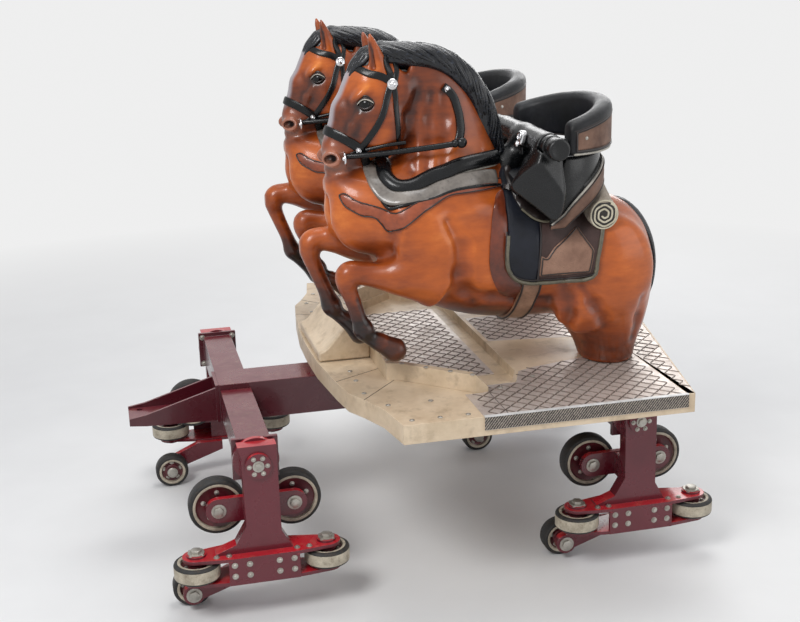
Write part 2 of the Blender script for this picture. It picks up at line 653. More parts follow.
shoulder_fold = [(150, 150, 1300, 3), (138, 160, 1240, 10), (146, 140, 1175, 8), (180, 120, 1130, 3)]


def sculpt_horse():
    """Lofts run together, then muscles, folds and the head's features."""
    s = Sculpt((-848, -224, 664), (400, 224, 1864))
    s.loft([cross_ring(r, 72) for r in curve(barrel_table, 6)])
    s.loft([level_ring(r, 0, 64) for r in curve(haunch_table, 6)], 0.05)
    s.loft([cross_ring(r, 56) for r in curve(neck_table, 6)], 0.045)
    s.blur(3)
    s.blob((-590, 150, 1060), (150, 62, 170), 12, 0.05)
    s.blob((-500, 148, 930), (96, 54, 92), -18, 0.045)
    s.blob((40, 142, 1205), (96, 62, 150), 34, 0.05)
    s.blob((60, 128, 1085), (100, 62, 66), -10, 0.045)
    s.blob((232, 58, 1252), (84, 60, 104), 30, 0.04)
    s.ridge([(300, 0, 1330, 12), (268, 0, 1230, 14), (205, 0, 1140, 12)], 0.035, True)
    s.ridge([(-800, 0, 1120, 10), (-806, 0, 980, 16), (-786, 0, 850, 14), (-752, 0, 740, 12)], 0.04, True)
    s.loft([cross_ring(r, 56) for r in curve(head_table, 6)], 0.026)
    sculpt_head(s)
    for table in (near_leg_table, far_leg_table):
        s.loft(leg_rings(table), 0.05)
        sculpt_leg(s, table)
    s.folds = [(s.settle(rows, depth), shade) for group, depth, shade in
               ((body_folds + [shoulder_fold], 0.65, 0.14), (neck_folds, 0.50, 0.12)) for rows in group]
    for rows, _ in s.folds:
        s.ridge(rows, 0.036, True)
    s.blur()
    return s


def sculpt_leg(s, table):
    elbow, forearm, knee, shin = table[1], table[2], table[4], table[6]
    fetlock, pastern, hoof = table[8], table[10], table[11]
    y = knee[1]
    s.blob((elbow[0], elbow[1], elbow[2] - 6), (84, 56, 52), -8, 0.03, one_side=True)
    s.blob((forearm[0] - 10, forearm[1], forearm[2] + 4), (70, 42, 38), -8, 0.02, one_side=True)
    s.blob((knee[0] + 4, y, knee[2] - 16), (34, 36, 40), 0, 0.016, one_side=True)
    s.blob((fetlock[0], y, fetlock[2]), (31, 32, 32), 0, 0.014, one_side=True)
    for side in (-1, 1):
        s.ridge([(knee[0] - 26, y + side * 28, knee[2] - 50, 4), (shin[0] - 18, y + side * 27, shin[2], 5),
                 (fetlock[0] - 8, y + side * 29, fetlock[2] + 30, 4)], 0.012, True, one_side=True)
    s.ridge([(pastern[0] - 4, y, pastern[2] - 2, 27), (hoof[0] + 6, hoof[1], hoof[2] + 2, 41)], 0.008,
            one_side=True)
    s.ridge([(pastern[0] + 2, y, pastern[2] + 4, 29), (pastern[0] - 4, y, pastern[2], 30)], 0.006,
            one_side=True)


eye_place = (199, 75, 1629)
nostril_place = (312, 50, 1460)


def nostril_rim(s):
    """A raised ring round the nostril."""
    a = np.linspace(0, 2 * math.pi, 13)
    x, y, z = nostril_place
    s.ridge([(x + 21 * c - 7 * w, y + 4 - 13 * c, z + 16 * w + 6 * c, 6 - 1.5 * w)
             for c, w in zip(np.cos(a), np.sin(a))], 0.008)


def sculpt_head(s):
    for row in ear_table[:-1]:
        s.blob((row[1], ear_y, row[0]), (row[2], row[3], 24), 14, 0.012)
    s.ridge([(170, 58, 1738, 9), (176, 57, 1790, 7), (178, 55, 1812, 2)], 0.006, True)
    s.blob((140, 64, 1556), (70, 30, 86), 24, 0.03)
    s.blob((84, 44, 1660), (46, 30, 66), 20, 0.03)
    s.blob((214, 60, 1662), (38, 24, 15), 40, 0.016)
    s.blob((206, 96, 1629), (27, 17, 19), 20, 0.010, True)
    s.ridge([(222, 76, 1596, 4), (242, 62, 1560, 6), (256, 52, 1524, 4)], 0.02)
    s.ridge([(222, 0, 1712, 24), (262, 0, 1610, 28), (292, 0, 1530, 26)], 0.03)
    s.blob((294, 0, 1472), (36, 44, 54), 16, 0.018)
    s.blob((302, 34, 1462), (27, 25, 33), 16, 0.012)
    nostril_rim(s)
    s.blob((298, 0, 1421), (28, 36, 20), 20, 0.010)
    s.blob((270, 0, 1398), (26, 29, 15), 20, 0.010)
    s.ridge([(316, 0, 1402, 3), (308, 28, 1404, 3), (284, 42, 1411, 3), (256, 50, 1426, 2)], 0.007, True)
    s.blob((nostril_place[0] + 5, nostril_place[1] + 6, nostril_place[2]), (19, 24, 12), 16, 0.006, True)


def stretches(p, rows):
    """For each stretch of a line: its ends, how far along it each point lies, and how far from it."""
    for a, b in zip(rows[:-1], rows[1:]):
        ab = (b - a)[:3]
        t = np.clip(((p - a[:3]) @ ab) / (ab @ ab), 0, 1)
        yield a, b, t, np.linalg.norm(p - a[:3] - t[:, None] * ab, axis=1)


def line_weight(p, rows, width):
    """1 on a line, fading to nothing over the width. This and the next two take near-side points in mm."""
    far = np.min([found[3] for found in stretches(p, np.array(rows, float))], axis=0)
    return np.exp(-(far / width) ** 2)


def fold_weight(p, rows):
    """Like line_weight along a fold, as wide as its radius and paler where the fold is thin."""
    rows = np.array(rows, float)
    out = np.zeros(len(p))
    for a, b, t, far in stretches(p, rows):
        radius = a[3] + t * (b[3] - a[3])
        weight = np.exp(-(far / (1.4 * radius + 6)) ** 2) * (radius / rows[:, 3].max()) ** 1.5
        out = np.maximum(out, weight)
    return out


def spot_weight(p, centre, radii):
    """1 at a place, fading to nothing over the radii."""
    return np.exp(-(((p - np.array(centre, float)) / radii) ** 2).sum(1))


def step_weight(value, low, high):
    """0 at low, rising smoothly to 1 at high, which may be the lower of the two."""
    t = np.clip((value - low) / (high - low), 0, 1)
    return t * t * (3 - 2 * t)


# Airbrushed tone: how much brighter or darker, and then a spot with its radii, a line with its width, or the
# heights and the places along the horse between which a broad shade grows
tone_spots = [
    (0.14, (-640, 190, 1130), (130, 120, 130)), (0.14, (40, 190, 1250), (130, 120, 90)),
    (0.16, (260, 60, 1300), (110, 120, 80)), (0.12, (-40, 150, 1450), (80, 90, 60)),
    (0.10, (-180, 200, 1060), (60, 90, 60)), (-0.30, (62, 100, 1570), (62, 70, 110)),
    (-0.10, (-60, 100, 1600), (90, 70, 90)), (-0.16, (210, 100, 1180), (60, 80, 50)),
    (-0.14, (-420, 190, 960), (60, 90, 90)), (0.18, (200, 70, 1690), (46, 50, 36)),
    (0.14, (300, 44, 1500), (40, 40, 26))]
tone_lines = [(-0.30, [(300, 0, 1330), (268, 0, 1230), (205, 0, 1140)], 30),
              (-0.22, [(88, 100, 1640), (96, 104, 1560), (130, 90, 1480)], 20)]
tone_shade = [(-0.36, (1030, 895), (-440, -320)), (-0.24, (900, 720), (-300, -420)),
              (-0.30, (1560, 1730), (120, 40)), (-0.22, (1720, 1790), (110, 140))]
middle_tone = 0.62


def paint_horse(s, points):
    """Airbrushed shading: tone from 0, dark, to 1, bright, and the blaze, flesh and black parts."""
    places = points / MM
    x, y, z = places[:, 0], abs(places[:, 1]), places[:, 2]
    p = np.stack([x, y, z], 1)
    tone = np.full(len(p), middle_tone)
    for amount, centre, radii in tone_spots:
        tone += amount * spot_weight(p, centre, radii)
    for amount, rows, width in tone_lines:
        tone += amount * line_weight(p, rows, width)
    for amount, heights, along in tone_shade:
        tone += amount * step_weight(z, *heights) * step_weight(x, *along)
    for rows, shade in s.folds:
        tone -= shade * fold_weight(p, rows)
    head = step_weight(x + 0.45 * (z - 1600), 110, 170) * step_weight(z, 1370, 1400)
    tone -= 0.24 * head * step_weight(z, 1680, 1600)
    legs = step_weight(x, 150, 240) * step_weight(z, 1200, 1120)
    tone -= 0.22 * legs * step_weight(z, 1100, 960) + 0.12 * legs
    bulge = s.sample(s.curvature(), points)
    tone += (np.clip(bulge - 14, 0, 40) - np.clip(-bulge, 0, 60)) * 0.003
    blaze = step_weight(y, 30, 16) * step_weight(z, 1500, 1560) * step_weight(z, 1800, 1770)
    blaze *= step_weight(x - (212 + (1786 - z) * 0.31), -26, -10)
    nostril = np.array(nostril_place)
    flesh = 0.85 * np.clip(spot_weight(p, nostril - (0, 0, 6), (34, 28, 32)) * 1.6, 0, 1)
    flesh += 0.35 * spot_weight(p, (292, 40, 1436), (26, 30, 16))
    flesh += 0.35 * line_weight(p, [(312, 0, 1408), (304, 28, 1410), (278, 44, 1416)], 9)
    black = 0.95 * np.clip(2.2 * spot_weight(p, nostril + (0, 2, 2), (17, 18, 11)), 0, 1)
    black += 0.9 * spot_weight(p, eye_place, (34, 24, 25))
    black += 0.55 * line_weight(p, [(222, 78, 1612), (236, 70, 1566), (256, 56, 1530)], 30)
    black += 0.45 * spot_weight(p, (300, 0, 1420), (60, 60, 34))
    black += 0.75 * line_weight(p, [(176, 57, 1750), (180, 55, 1810)], 9)
    for table in (near_leg_table, far_leg_table):
        hoof, pastern = np.array(table[11][:3]), np.array(table[10][:3])
        along = (places - pastern) @ (hoof - pastern) / np.linalg.norm(hoof - pastern)
        near = np.linalg.norm(places - hoof, axis=1) < 74
        black += 0.55 * near * step_weight(along, 14, 20)
    return {"tone": tone, "blaze": blaze, "flesh": flesh, "black": black}


# Where the fine mesh of the head and neck begins, and how far it overlaps the body's
HEAD_X, HEAD_Z, LAP = -0.088, 1.420, 0.004
# Faces whose middle is lower than the first are dropped, and points are raised to the second
LOWEST_FACE, LOWEST_POINT = 0.702, 0.7005


def make_horse():
    """Both horses, with faces of 8 mm, and 4 mm on head and neck. Returns the skin that the tack lies on."""
    s = sculpt_horse()
    body, body_quads = s.mesh(2, lambda m: ~((m[:, 0] > HEAD_X + LAP) & (m[:, 2] > HEAD_Z + LAP))
                              & (m[:, 2] > LOWEST_FACE))
    head, head_quads = s.mesh(1, lambda m: (m[:, 0] > HEAD_X - LAP) & (m[:, 2] > HEAD_Z - LAP),
                              ((HEAD_X / MM - 24, -224, HEAD_Z / MM - 24), (400, 224, 1864)))
    points = np.concatenate([body, head])
    quads = np.concatenate([body_quads, head_quads + len(body)])
    points[:, 2] = np.maximum(points[:, 2], LOWEST_POINT)
    paint = paint_horse(s, points)
    for side, y in SIDES.items():
        obj = new_object("horse_body_" + side, points + (0, y, 0), quads, "coat", slot="horse_coat",
                         replaces=("horse_" + side,))
        for key, values in paint.items():
            layer = obj.data.attributes.new(key, "FLOAT", "POINT")
            layer.data.foreach_set("value", np.clip(values, 0, 1).astype(np.float32))
    return BVHTree.FromPolygons([Vector(v) for v in points], [tuple(map(int, q)) for q in quads])


# Straps, bands and panels that lie on the horse
def cling(rows, height):
    """Nearest places on the horse to rows in mm, lifted off it, and the skin's directions there."""
    places, ups = [], []
    for row in rows:
        hit, normal, _, _ = skin.find_nearest(Vector(row[:3]) * MM)
        places.append(hit + normal * height)
        ups.append(normal)
    places, ups = np.array(places), np.array(ups)
    for _ in range(4):
        places[1:-1] = (places[:-2] + 2 * places[1:-1] + places[2:]) / 4
    for _ in range(2):
        padded = np.concatenate([ups[:1], ups, ups[-1:]])
        ups = unit(padded[:-2] + 2 * padded[1:-1] + padded[2:])
    return places, ups


def even(rows, step):
    """Points at even steps, in mm, along a smooth curve through the rows."""
    fine = curve(rows, 12)[:, :3] if len(rows) > 2 else np.linspace(rows[0][:3], rows[-1][:3], 24)
    far = np.concatenate([[0], np.cumsum(np.linalg.norm(np.diff(fine, axis=0), axis=1))])
    count = max(3, int(round(far[-1] / step)) + 1)
    at = np.linspace(0, far[-1], count)
    return np.stack([np.interp(at, far, fine[:, i]) for i in range(3)], 1)


def onto_skin(x, z, side):
    """The place on the horse that shows at x and z, in mm, from one side, and the skin's direction there."""
    outside, near = 0.42, 0.2
    hit, normal, _, _ = skin.ray_cast(Vector((x * MM, side * outside, z * MM)), Vector((0, -side, 0)))
    if hit is None:
        hit, normal, _, _ = skin.find_nearest(Vector((x * MM, side * near, z * MM)))
    return hit, normal


def strap(bag, rows, width, thick, material=0, sink=0.003, square=0.5, step=9, sides=14):
    """A strap that follows the horse along rows in mm, thinner at its ends."""
    places, ups = cling(even(rows, step), thick / 2 - sink)
    half = np.full(len(places), thick / 2)
    half[[0, -1]] *= 0.7
    bag.rod(places, lambda i: round_outline(width / 2, half[i], sides, square), ups, material)


def panel(bag, outline, height, side, material=0, sink=0.004):
    """A flat panel seen from the side, laid on the horse: its outline in mm is cut into cells."""
    cell = 12
    bm = bmesh.new()
    bm.faces.new([bm.verts.new((x, 0, z)) for x, z in outline])
    for axis, values in zip((0, 2), zip(*outline)):
        for cut in np.arange(math.ceil(min(values) / cell) * cell, max(values), cell):
            normal = np.eye(3)[axis]
            bmesh.ops.bisect_plane(bm, geom=bm.verts[:] + bm.edges[:] + bm.faces[:], dist=0.01,
                                   plane_co=cut * normal, plane_no=normal)
    bm.verts.index_update()
    top, low = [], []
    for v in bm.verts:
        hit, normal = onto_skin(v.co.x, v.co.z, side)
        rim = any(len(e.link_faces) == 1 for e in v.link_edges)
        top.append(hit + normal * (height * (0.75 if rim else 1)))
        low.append(hit - normal * sink)
    faces = [[v.index for v in f.verts] for f in bm.faces]
    if (bm.faces[:][0].normal.y > 0) != (side > 0):
        faces = [f[::-1] for f in faces]
    bm.free()
    count = len(top)
    edges = [edge for f in faces for edge in zip(f, f[1:] + f[:1])]
    known = set(edges)
    walls = [(b, a, a + count, b + count) for a, b in edges if (b, a) not in known]
    bag.add(top + low, faces + walls + [[i + count for i in f[::-1]] for f in faces], material)


def round_corners(outline, radius):
    """An outline with its corners cut to curves."""
    p = np.array(outline, float)
    out = []
    for a, b, c in zip(np.roll(p, 1, 0), p, np.roll(p, -1, 0)):
        r = min(radius, 0.45 * np.linalg.norm(a - b), 0.45 * np.linalg.norm(c - b))
        start, end = b + r * unit(a - b), b + r * unit(c - b)
        for t in np.linspace(0, 1, 4):
            out.append((1 - t) ** 2 * start + 2 * t * (1 - t) * b + t * t * end)
    return out


def inset(outline, amount):
    """An outline moved inwards, point by point."""
    p = np.array(outline, float)
    area = np.sum(p[:, 0] * np.roll(p[:, 1], -1) - np.roll(p[:, 0], -1) * p[:, 1])
    along = unit(np.roll(p, -1, 0) - np.roll(p, 1, 0))
    return p + math.copysign(amount, area) * np.stack([-along[:, 1], along[:, 0]], 1)


def piping(bag, outline, radius, side, material, lift=0.0, closed=True, flat=1.0):
    """A round cord on the horse along a side-view line in mm."""
    places, ups = [], []
    line = list(outline) + ([outline[0], outline[1]] if closed else [])
    for a, b in zip(line[:-1], line[1:]):
        for t in np.linspace(0, 1, max(2, int(np.linalg.norm(np.subtract(b, a)) / 10) + 1))[:-1]:
            hit, normal = onto_skin(*((1 - t) * np.array(a) + t * np.array(b)), side)
            if not places or (hit + normal * lift - places[-1]).length > 0.002:
                places.append(hit + normal * lift)
                ups.append(normal)
    bag.rod(places, round_outline(radius, radius * flat), ups, material)


# Steel, deck and wheels
AXLES = {"rear": -680, "front": 620}
RAIL_Y, RAIL_Z, RUN_Z, STOP_Z, GUIDE_Y = 500, 190, 345, 65, 635
RUN_DX, GUIDE_DX, STOP_DX = 125, 212, 225
# Wheels: radius, and where the pin ends on either side of the wheel's middle
RUN_WHEEL, GUIDE_WHEEL, STOP_WHEEL = (95, -34, 60), (75, -52, 62), (65, -34, 70)
BOGIE_PLATE_Z, PIVOT_Y, PIVOT_Z = 236, 672, 535
DECK_Z, FOOTWELL_Z, CURB_Z, SEAM_X = 700, 671, 760, -745


def dress(name, material, edge):
    """A CAD node's finish, with its edges softened."""
    obj = nodes[name]
    obj.data.materials.clear()
    obj.data.materials.append(material)
    obj.data.polygons.foreach_set("use_smooth", np.ones(len(obj.data.polygons), dtype=bool))
    weld = obj.modifiers.new("weld", "WELD")
    weld.merge_threshold = 0.00005
    flat = obj.modifiers.new("flat", "DECIMATE")
    flat.decimate_type = "DISSOLVE"
    flat.angle_limit = math.radians(1.0)
    bevel = obj.modifiers.new("bevel", "BEVEL")
    bevel.width = edge
    bevel.segments = 2
    bevel.angle_limit = math.radians(34)
    normals = obj.modifiers.new("normals", "WEIGHTED_NORMAL")
    normals.keep_sharp = True


def dress_all():
    for name in ("spine", "axle_beam_rear", "axle_beam_front", "outriggers", "front_bracket"):
        dress(name, MAT["maroon"], 0.0025)
    for corner in CORNERS:
        dress("bogie_" + corner, MAT["red"], 0.003)
    dress("rear_coupling", MAT["steel"], 0.0025)
    for name, edge in (("deck", 0.004), ("front_fairing", 0.008), ("foot_blocks", 0.005)):
        dress(name, MAT["deck"], edge)
    for name in ("tread_plates", "rear_tread_plate"):
        dress(name, MAT["plate"], 0.001)


def wheel_mesh(bag, r, low, high, guide=False):
    """A wheel on its pin along Z round the origin, from sizes in mm."""
    r, low, high, half = r * MM, low * MM, high * MM, 0.028
    dish = r - 0.022
    side = [(0.024, 0.0149), (0.024, 0.026), (0.022, 0.029), (0.0145, 0.031), (0.014, dish - 0.006),
            (0.017, dish - 0.001), (0.027, dish), (half, dish + 0.002), (half, dish + 0.009),
            (half - 0.0005, dish + 0.010), (half, dish + 0.011), (half - 0.001, r - 0.006),
            (half - 0.004, r - 0.002), (half - 0.009, r)]
    tones = [2, 2, 2, 2, 2, 1, 1, 1, 4, 0, 0, 0, 0]
    profile = [(low, 0.012), (low + 0.003, 0.0149)] + [(-a, b) for a, b in side] + side[::-1]
    profile += [(high - 0.003, 0.0149), (high, 0.012)]
    tones = [3, 3] + tones + [1 if guide else 0] + tones[::-1] + [3, 3]
    lathe(bag, profile, (0, 0, 0), (0, 0, 1), 64, materials=tones)
    ring = (0.029 + dish - 0.006) / 2
    for face in (-1, 1):
        for a in turn_steps(5) + 0.1 * math.pi:
            place = (ring * math.cos(a), ring * math.sin(a), face * 0.0138)
            bolt(bag, place, (0, 0, face), 0.0058, 0.005, 3)
    cap = [(0, 0.021), (0.004, 0.021), (0.006, 0.018), (0.007, 0.008)]
    lathe(bag, cap, (0, 0, low - 0.001), (0, 0, -1), 24, 3)


def add_wheels():
    """Wheels that spin on their own bodies, each in the place of its node."""
    for corner in CORNERS:
        end, side = corner.split("_")
        s = 1 if side == "left" else -1
        spins = [("upstop_wheel_" + corner, STOP_DX, RAIL_Y, STOP_Z, STOP_WHEEL)]
        for key, k in (("a", -1), ("b", 1)):
            spins.append(("running_wheel_%s_%s" % (corner, key), k * RUN_DX, RAIL_Y, RUN_Z, RUN_WHEEL))
            spins.append(("guide_wheel_%s_%s" % (corner, key), k * GUIDE_DX, GUIDE_Y, RAIL_Z, GUIDE_WHEEL))
        for name, dx, y, z, sizes in spins:
            bag = Bag()
            guide = sizes is GUIDE_WHEEL
            wheel_mesh(bag, *sizes, guide)
            p = np.array(bag.points)
            if not guide:
                p = p[:, [0, 2, 1]] * (1, s, 1)
            p = p + np.array([AXLES[end] + dx, s * y, z]) * MM
            faces = bag.faces if guide or s < 0 else [f[::-1] for f in bag.faces]
            obj = new_object(name + "_look", p, faces, "rubber rim hub zinc grease", name, "wheel_tread",
                             (name,), which=bag.which)
            mark_sharp(obj, 38)


def mark_sharp(obj, angle):
    """Keeps edges sharper than an angle, in degrees, crisp under smooth shading."""
    bm = bmesh.new()
    bm.from_mesh(obj.data)
    for edge in bm.edges:
        edge.smooth = len(edge.link_faces) == 2 and edge.calc_face_angle(0) < math.radians(angle)
    bm.to_mesh(obj.data)
    bm.free()


def bogie_bolts():
    """Rows of place in mm from the axle, direction, size and height, for a bogie on the left."""
    out, up, back = (0, 1, 0), (0, 0, 1), (0, -1, 0)
    rows = [(dx, 557, RUN_Z, out, 17, 12) for dx in (-RUN_DX, RUN_DX)]
    for dx in (-GUIDE_DX, GUIDE_DX):
        rows.append((dx, GUIDE_Y, 246, up, 19, 13))
        for a in np.radians((45, 135, 225, 315)):
            rows.append((dx + 26 * math.cos(a), GUIDE_Y + 26 * math.sin(a), 245, up, 4.5, 5))
    rows.append((STOP_DX, 575, STOP_Z, out, 18, 12))
    rows += [(29 * math.cos(a), PIVOT_Y, PIVOT_Z + 29 * math.sin(a), out, 5.5, 6) for a in turn_steps(6)]
    rows.append((0, PIVOT_Y, PIVOT_Z, out, 13, 9))
    rows += [(dx, 694, z, out, 7, 7) for dx in (-96, -48, 48, 96) for z in (176, 214)]
    rows += [(dx, 668, BOGIE_PLATE_Z, up, 7, 7) for dx in (-150, -110, 110, 150)]
    return rows + [(dx, 582, z, back, 8, 8) for dx in (-60, 60) for z in (478, 588)]


def add_bogie_parts():
    """Nuts, bolts and pivot caps on the bogies."""
    for corner in CORNERS:
        end, side = corner.split("_")
        s = 1 if side == "left" else -1
        bag = Bag()
        for x, y, z, way, size, height in bogie_bolts():
            bolt(bag, ((AXLES[end] + x) * MM, s * y * MM, z * MM), (way[0], way[1] * s, way[2]), size * MM,
                 height * MM)
        mark_sharp(bag.done("bogie_bolts_" + corner, "zinc", slot="coupling_steel"), 35)


# Walking plates seen from above, in mm, as the solids have them, one half of each
side_plate = [(-62, 666), (-62, 876), (SEAM_X, 876), (SEAM_X, 395), (-583, 418), (-359, 473), (-300, 500),
              (-258, 602), (-156, 602), (-124, 666)]
aisle_plate = [(-305, 0), (-305, 150), (-430, 164), (-642, 200), (SEAM_X, 218), (SEAM_X, 0)]
rear_plate = [(-950, 0), (-768, 868), (SEAM_X - 3, 868), (SEAM_X - 3, 0)]
foot_plate = [(-240, 0), (-240, 418), (98, 418), (98, 0)]
lug_pitch, lug_l, lug_w, lug_h = 28.0, 40.5, 5.6, 2.2


def lug(bag, x, y, z, turn):
    """One raised diamond of the tread pattern, in mm."""
    c, s = math.cos(turn), math.sin(turn)
    low = [(0.5, 0), (0.36, 0.42), (-0.36, 0.42), (-0.5, 0), (-0.36, -0.42), (0.36, -0.42)]
    points = []
    for long, wide, h in ((1.0, 1.2, 0.0), (0.9, 0.6, 1.0)):
        for a, b in low:
            u, v = a * lug_l * long, b * lug_w * wide
            points.append(((x + c * u - s * v) * MM, (y + s * u + c * v) * MM, (z - 0.2 + lug_h * h) * MM))
    faces = [(i, (i + 1) % 6, (i + 1) % 6 + 6, i + 6) for i in range(6)]
    bag.add(points, faces + [tuple(range(6, 12))])


def inside(x, y, outline, margin):
    """Whether a place is in an outline and clear of its edges, apart from an edge on the middle line."""
    p = np.array(outline, float)
    hit = False
    for a, b in zip(p, np.roll(p, -1, 0)):
        if (a[1] > y) != (b[1] > y) and x < a[0] + (y - a[1]) * (b[0] - a[0]) / (b[1] - a[1]):
            hit = not hit
        t = np.clip(np.dot((x, y) - a, b - a) / np.dot(b - a, b - a), 0, 1)
        if not (a[1] == 0 and b[1] == 0) and np.linalg.norm((x, y) - a - t * (b - a)) < margin:
            return False
    return hit


def add_tread():
    """Raised diamonds in a woven pattern over the walking plates, and the plates' edge trim."""
    for name, outline, z in (("side", side_plate, DECK_Z), ("aisle", aisle_plate, DECK_Z),
                             ("rear", rear_plate, DECK_Z), ("footwell", foot_plate, FOOTWELL_Z)):
        bag = Bag()
        xs, ys = zip(*outline)
        for i in range(int(min(xs) // lug_pitch), int(max(xs) // lug_pitch) + 1):
            for j in range(int(max(ys) // lug_pitch) + 1):
                x, y = (i + 0.5) * lug_pitch, (j + 0.5) * lug_pitch
                if inside(x, y, outline, 10):
                    turn = math.radians(45 if (i + j) % 2 else -45)
                    for s in (-1, 1):
                        lug(bag, x, s * y, z, s * turn)
        bag.done("tread_lugs_" + name, "lug", slot="tread_alloy", smooth=False)
    bag = Bag()
    for s in (-1, 1):
        for material, low, high in ((0, (868, 699.5), (882, 702)), (1, (880.5, 658), (882, 699))):
            box(bag, (SEAM_X, low[0] * s, low[1]), (-62, high[0] * s, high[1]), material)
    bag.done("plate_edges", "white hatch", slot="tread_alloy", smooth=False)


BOX_FACES = [(0, 1, 3, 2), (4, 6, 7, 5), (0, 4, 5, 1), (2, 3, 7, 6), (0, 2, 6, 4), (1, 5, 7, 3)]


def box(bag, a, b, material=0):
    """A box between two corners, in mm."""
    xs, ys, zs = np.sort([a, b], axis=0).T * MM
    bag.add([(x, y, z) for x in xs for y in ys for z in zs], BOX_FACES, material)


deck_screws = [(-20, 840), (70, 840), (160, 840), (60, 690), (200, 690), (250, 330), (250, 430), (250, 560),
               (-190, 640), (-330, 560)]
deck_joints = [((152, 205), (330, 205)), ((126, 462), (262, 618)), ((-142, 666), (-142, 870)),
               ((152, 330), (316, 420))]


def add_deck_parts():
    """Screws along the curb and the deck's edge, and the joints between the deck's mouldings."""
    bag = Bag()
    spots = [(136, y, CURB_Z) for y in range(-420, 421, 120)]
    for s in (-1, 1):
        spots += [(120 - 0.95 * t, s * (458 + 0.88 * t), CURB_Z) for t in (20, 90, 160, 222)]
        spots += [(x, s * y, DECK_Z) for x, y in deck_screws]
    for spot in spots:
        lathe(bag, [(0, 0.0085), (0.0018, 0.0085), (0.003, 0.0062), (0.0032, 0.003), (0.0014, 0.0026)],
              np.array(spot) * MM, (0, 0, 1), 16)
    bag.done("deck_screws", "zinc", slot="deck_beige")
    bag = Bag()
    for s in (-1, 1):
        for line in deck_joints:
            (x0, y0), (x1, y1) = line
            w = 1.1 * unit(np.array([y0 - y1, x1 - x0], float))
            p = [((x + k * w[0]) * MM, s * (y + k * w[1]) * MM, z) for z in (0.6985, 0.7004)
                 for x, y in line for k in (-1, 1)]
            bag.add(p, BOX_FACES)
    bag.done("deck_joints", "dark", slot="deck_beige", smooth=False)


# Tack, in mm, on both sides of the head and neck
def mirrored(rows, s):
    return [(r[0], r[1] * s, *r[2:]) for r in rows]


def ball(bag, centre, radii, material=0, axis=(0, 1, 0)):
    """An ellipsoid turned round an axis: radii along it and across, in mm."""
    a = np.linspace(0, math.pi, 13)
    profile = [(-radii[0] * MM * math.cos(t), max(radii[1] * MM * math.sin(t), 1e-6)) for t in a]
    lathe(bag, profile, Vector(centre) * MM, axis, 24, material)


def torus(bag, centre, radius, thick, normal, material=0, sides=10, steps=32):
    """A round ring, in mm."""
    n = Vector(normal).normalized()
    u = n.orthogonal().normalized()
    v = n.cross(u)
    faces, points = [], []
    for i in range(steps):
        a = 2 * math.pi * i / steps
        out = u * math.cos(a) + v * math.sin(a)
        for j in range(sides):
            b = 2 * math.pi * j / sides
            tube_middle = Vector(centre) + out * radius
            points.append((tube_middle + (out * math.cos(b) + n * math.sin(b)) * thick) * MM)
            i2, j2 = (i + 1) % steps, (j + 1) % sides
            faces.append((i * sides + j, i2 * sides + j, i2 * sides + j2, i * sides + j2))
    bag.add(points, faces, material)


def on_horses(bag, name, materials, slot, node=None, sharp=0):
    """The same mesh on both horses."""
    for side, y in SIDES.items():
        replaced = (node + "_" + side,) if node else ()
        obj = bag.done(name + "_" + side, materials, y, slot=slot, replaces=replaced)
        if sharp:
            mark_sharp(obj, sharp)


# Bridle straps: rows of x, y, z on the near side, then width and thickness
bridle = [
    ([(120, 100, 1694), (136, 98, 1640), (160, 86, 1580), (196, 70, 1520), (228, 60, 1478)], 21, 9),
    ([(112, 100, 1690), (104, 98, 1640), (104, 94, 1570), (100, 84, 1510), (96, 40, 1478), (96, 0, 1470)],
     17, 8),
    ([(118, 100, 1700), (146, 94, 1712), (180, 78, 1722), (214, 48, 1738), (232, 0, 1752)], 24, 9),
    ([(122, 100, 1692), (112, 92, 1736), (102, 72, 1780), (92, 44, 1806)], 22, 9),
    ([(108, 102, 1692), (96, 94, 1736), (84, 74, 1776), (76, 44, 1800)], 16, 8),
    ([(196, 0, 1426), (200, 48, 1446), (216, 64, 1482), (252, 60, 1512), (292, 42, 1534), (318, 0, 1546)],
     30, 12),
    ([(226, 62, 1482), (246, 58, 1470), (262, 54, 1464)], 16, 8)]
rein_rows = [
    (264, 62, 1467), (210, 78, 1470), (120, 98, 1477), (10, 120, 1488), (-60, 130, 1496), (-96, 128, 1500)]
jaw_strap_rows = [(82, 102, 1506), (140, 92, 1500), (205, 74, 1486)]
neck_strap_rows = [(-92, 130, 1502), (-108, 120, 1536), (-106, 108, 1588), (-90, 98, 1640), (-58, 90, 1668)]


def add_bridle():
    """Straps with chrome studs and rings, the reins and the strap round the neck."""
    bag = Bag()
    for s in (1, -1):
        for rows, width, thick in bridle:
            strap(bag, mirrored(rows, s), width * MM, thick * MM, square=0.55, step=8)
        for rows, radius, sides in ((rein_rows, 0.0095, 12), (jaw_strap_rows, 0.006, 10)):
            tube(bag, np.array(mirrored(even(rows, 12), s)) * MM, radius, sides)
        ball(bag, (-92, s * 130, 1500), (17, 18))
        ball(bag, (-70, s * 131, 1498), (13, 13))
        strap(bag, mirrored(neck_strap_rows, s), 0.027, 0.015, step=8)
        for x, z, y0, r in ((118, 1694, 120, 17), (228, 1482, 80, 10), (-66, 1660, 110, 11)):
            hit, normal, _, _ = skin.find_nearest(Vector((x, s * y0, z)) * MM)
            stud = [(0.004, 1), (0.011, 1), (0.0135, 0.84), (0.0125, 0.62), (0.0165, 0.4), (0.018, 0.12)]
            lathe(bag, [(rise, r * part * MM) for rise, part in stud], hit, normal, 32, 1)
        hit, normal, _, _ = skin.find_nearest(Vector((264, s * 80, 1462)) * MM)
        torus(bag, np.array(hit + normal * 0.012) / MM, 19, 3.6, normal, 1)
        ball(bag, np.array(hit + normal * 0.010) / MM, (8, 8), 1, normal)
    on_horses(bag, "bridle", "tack chrome", "tack_black", "tack", 40)


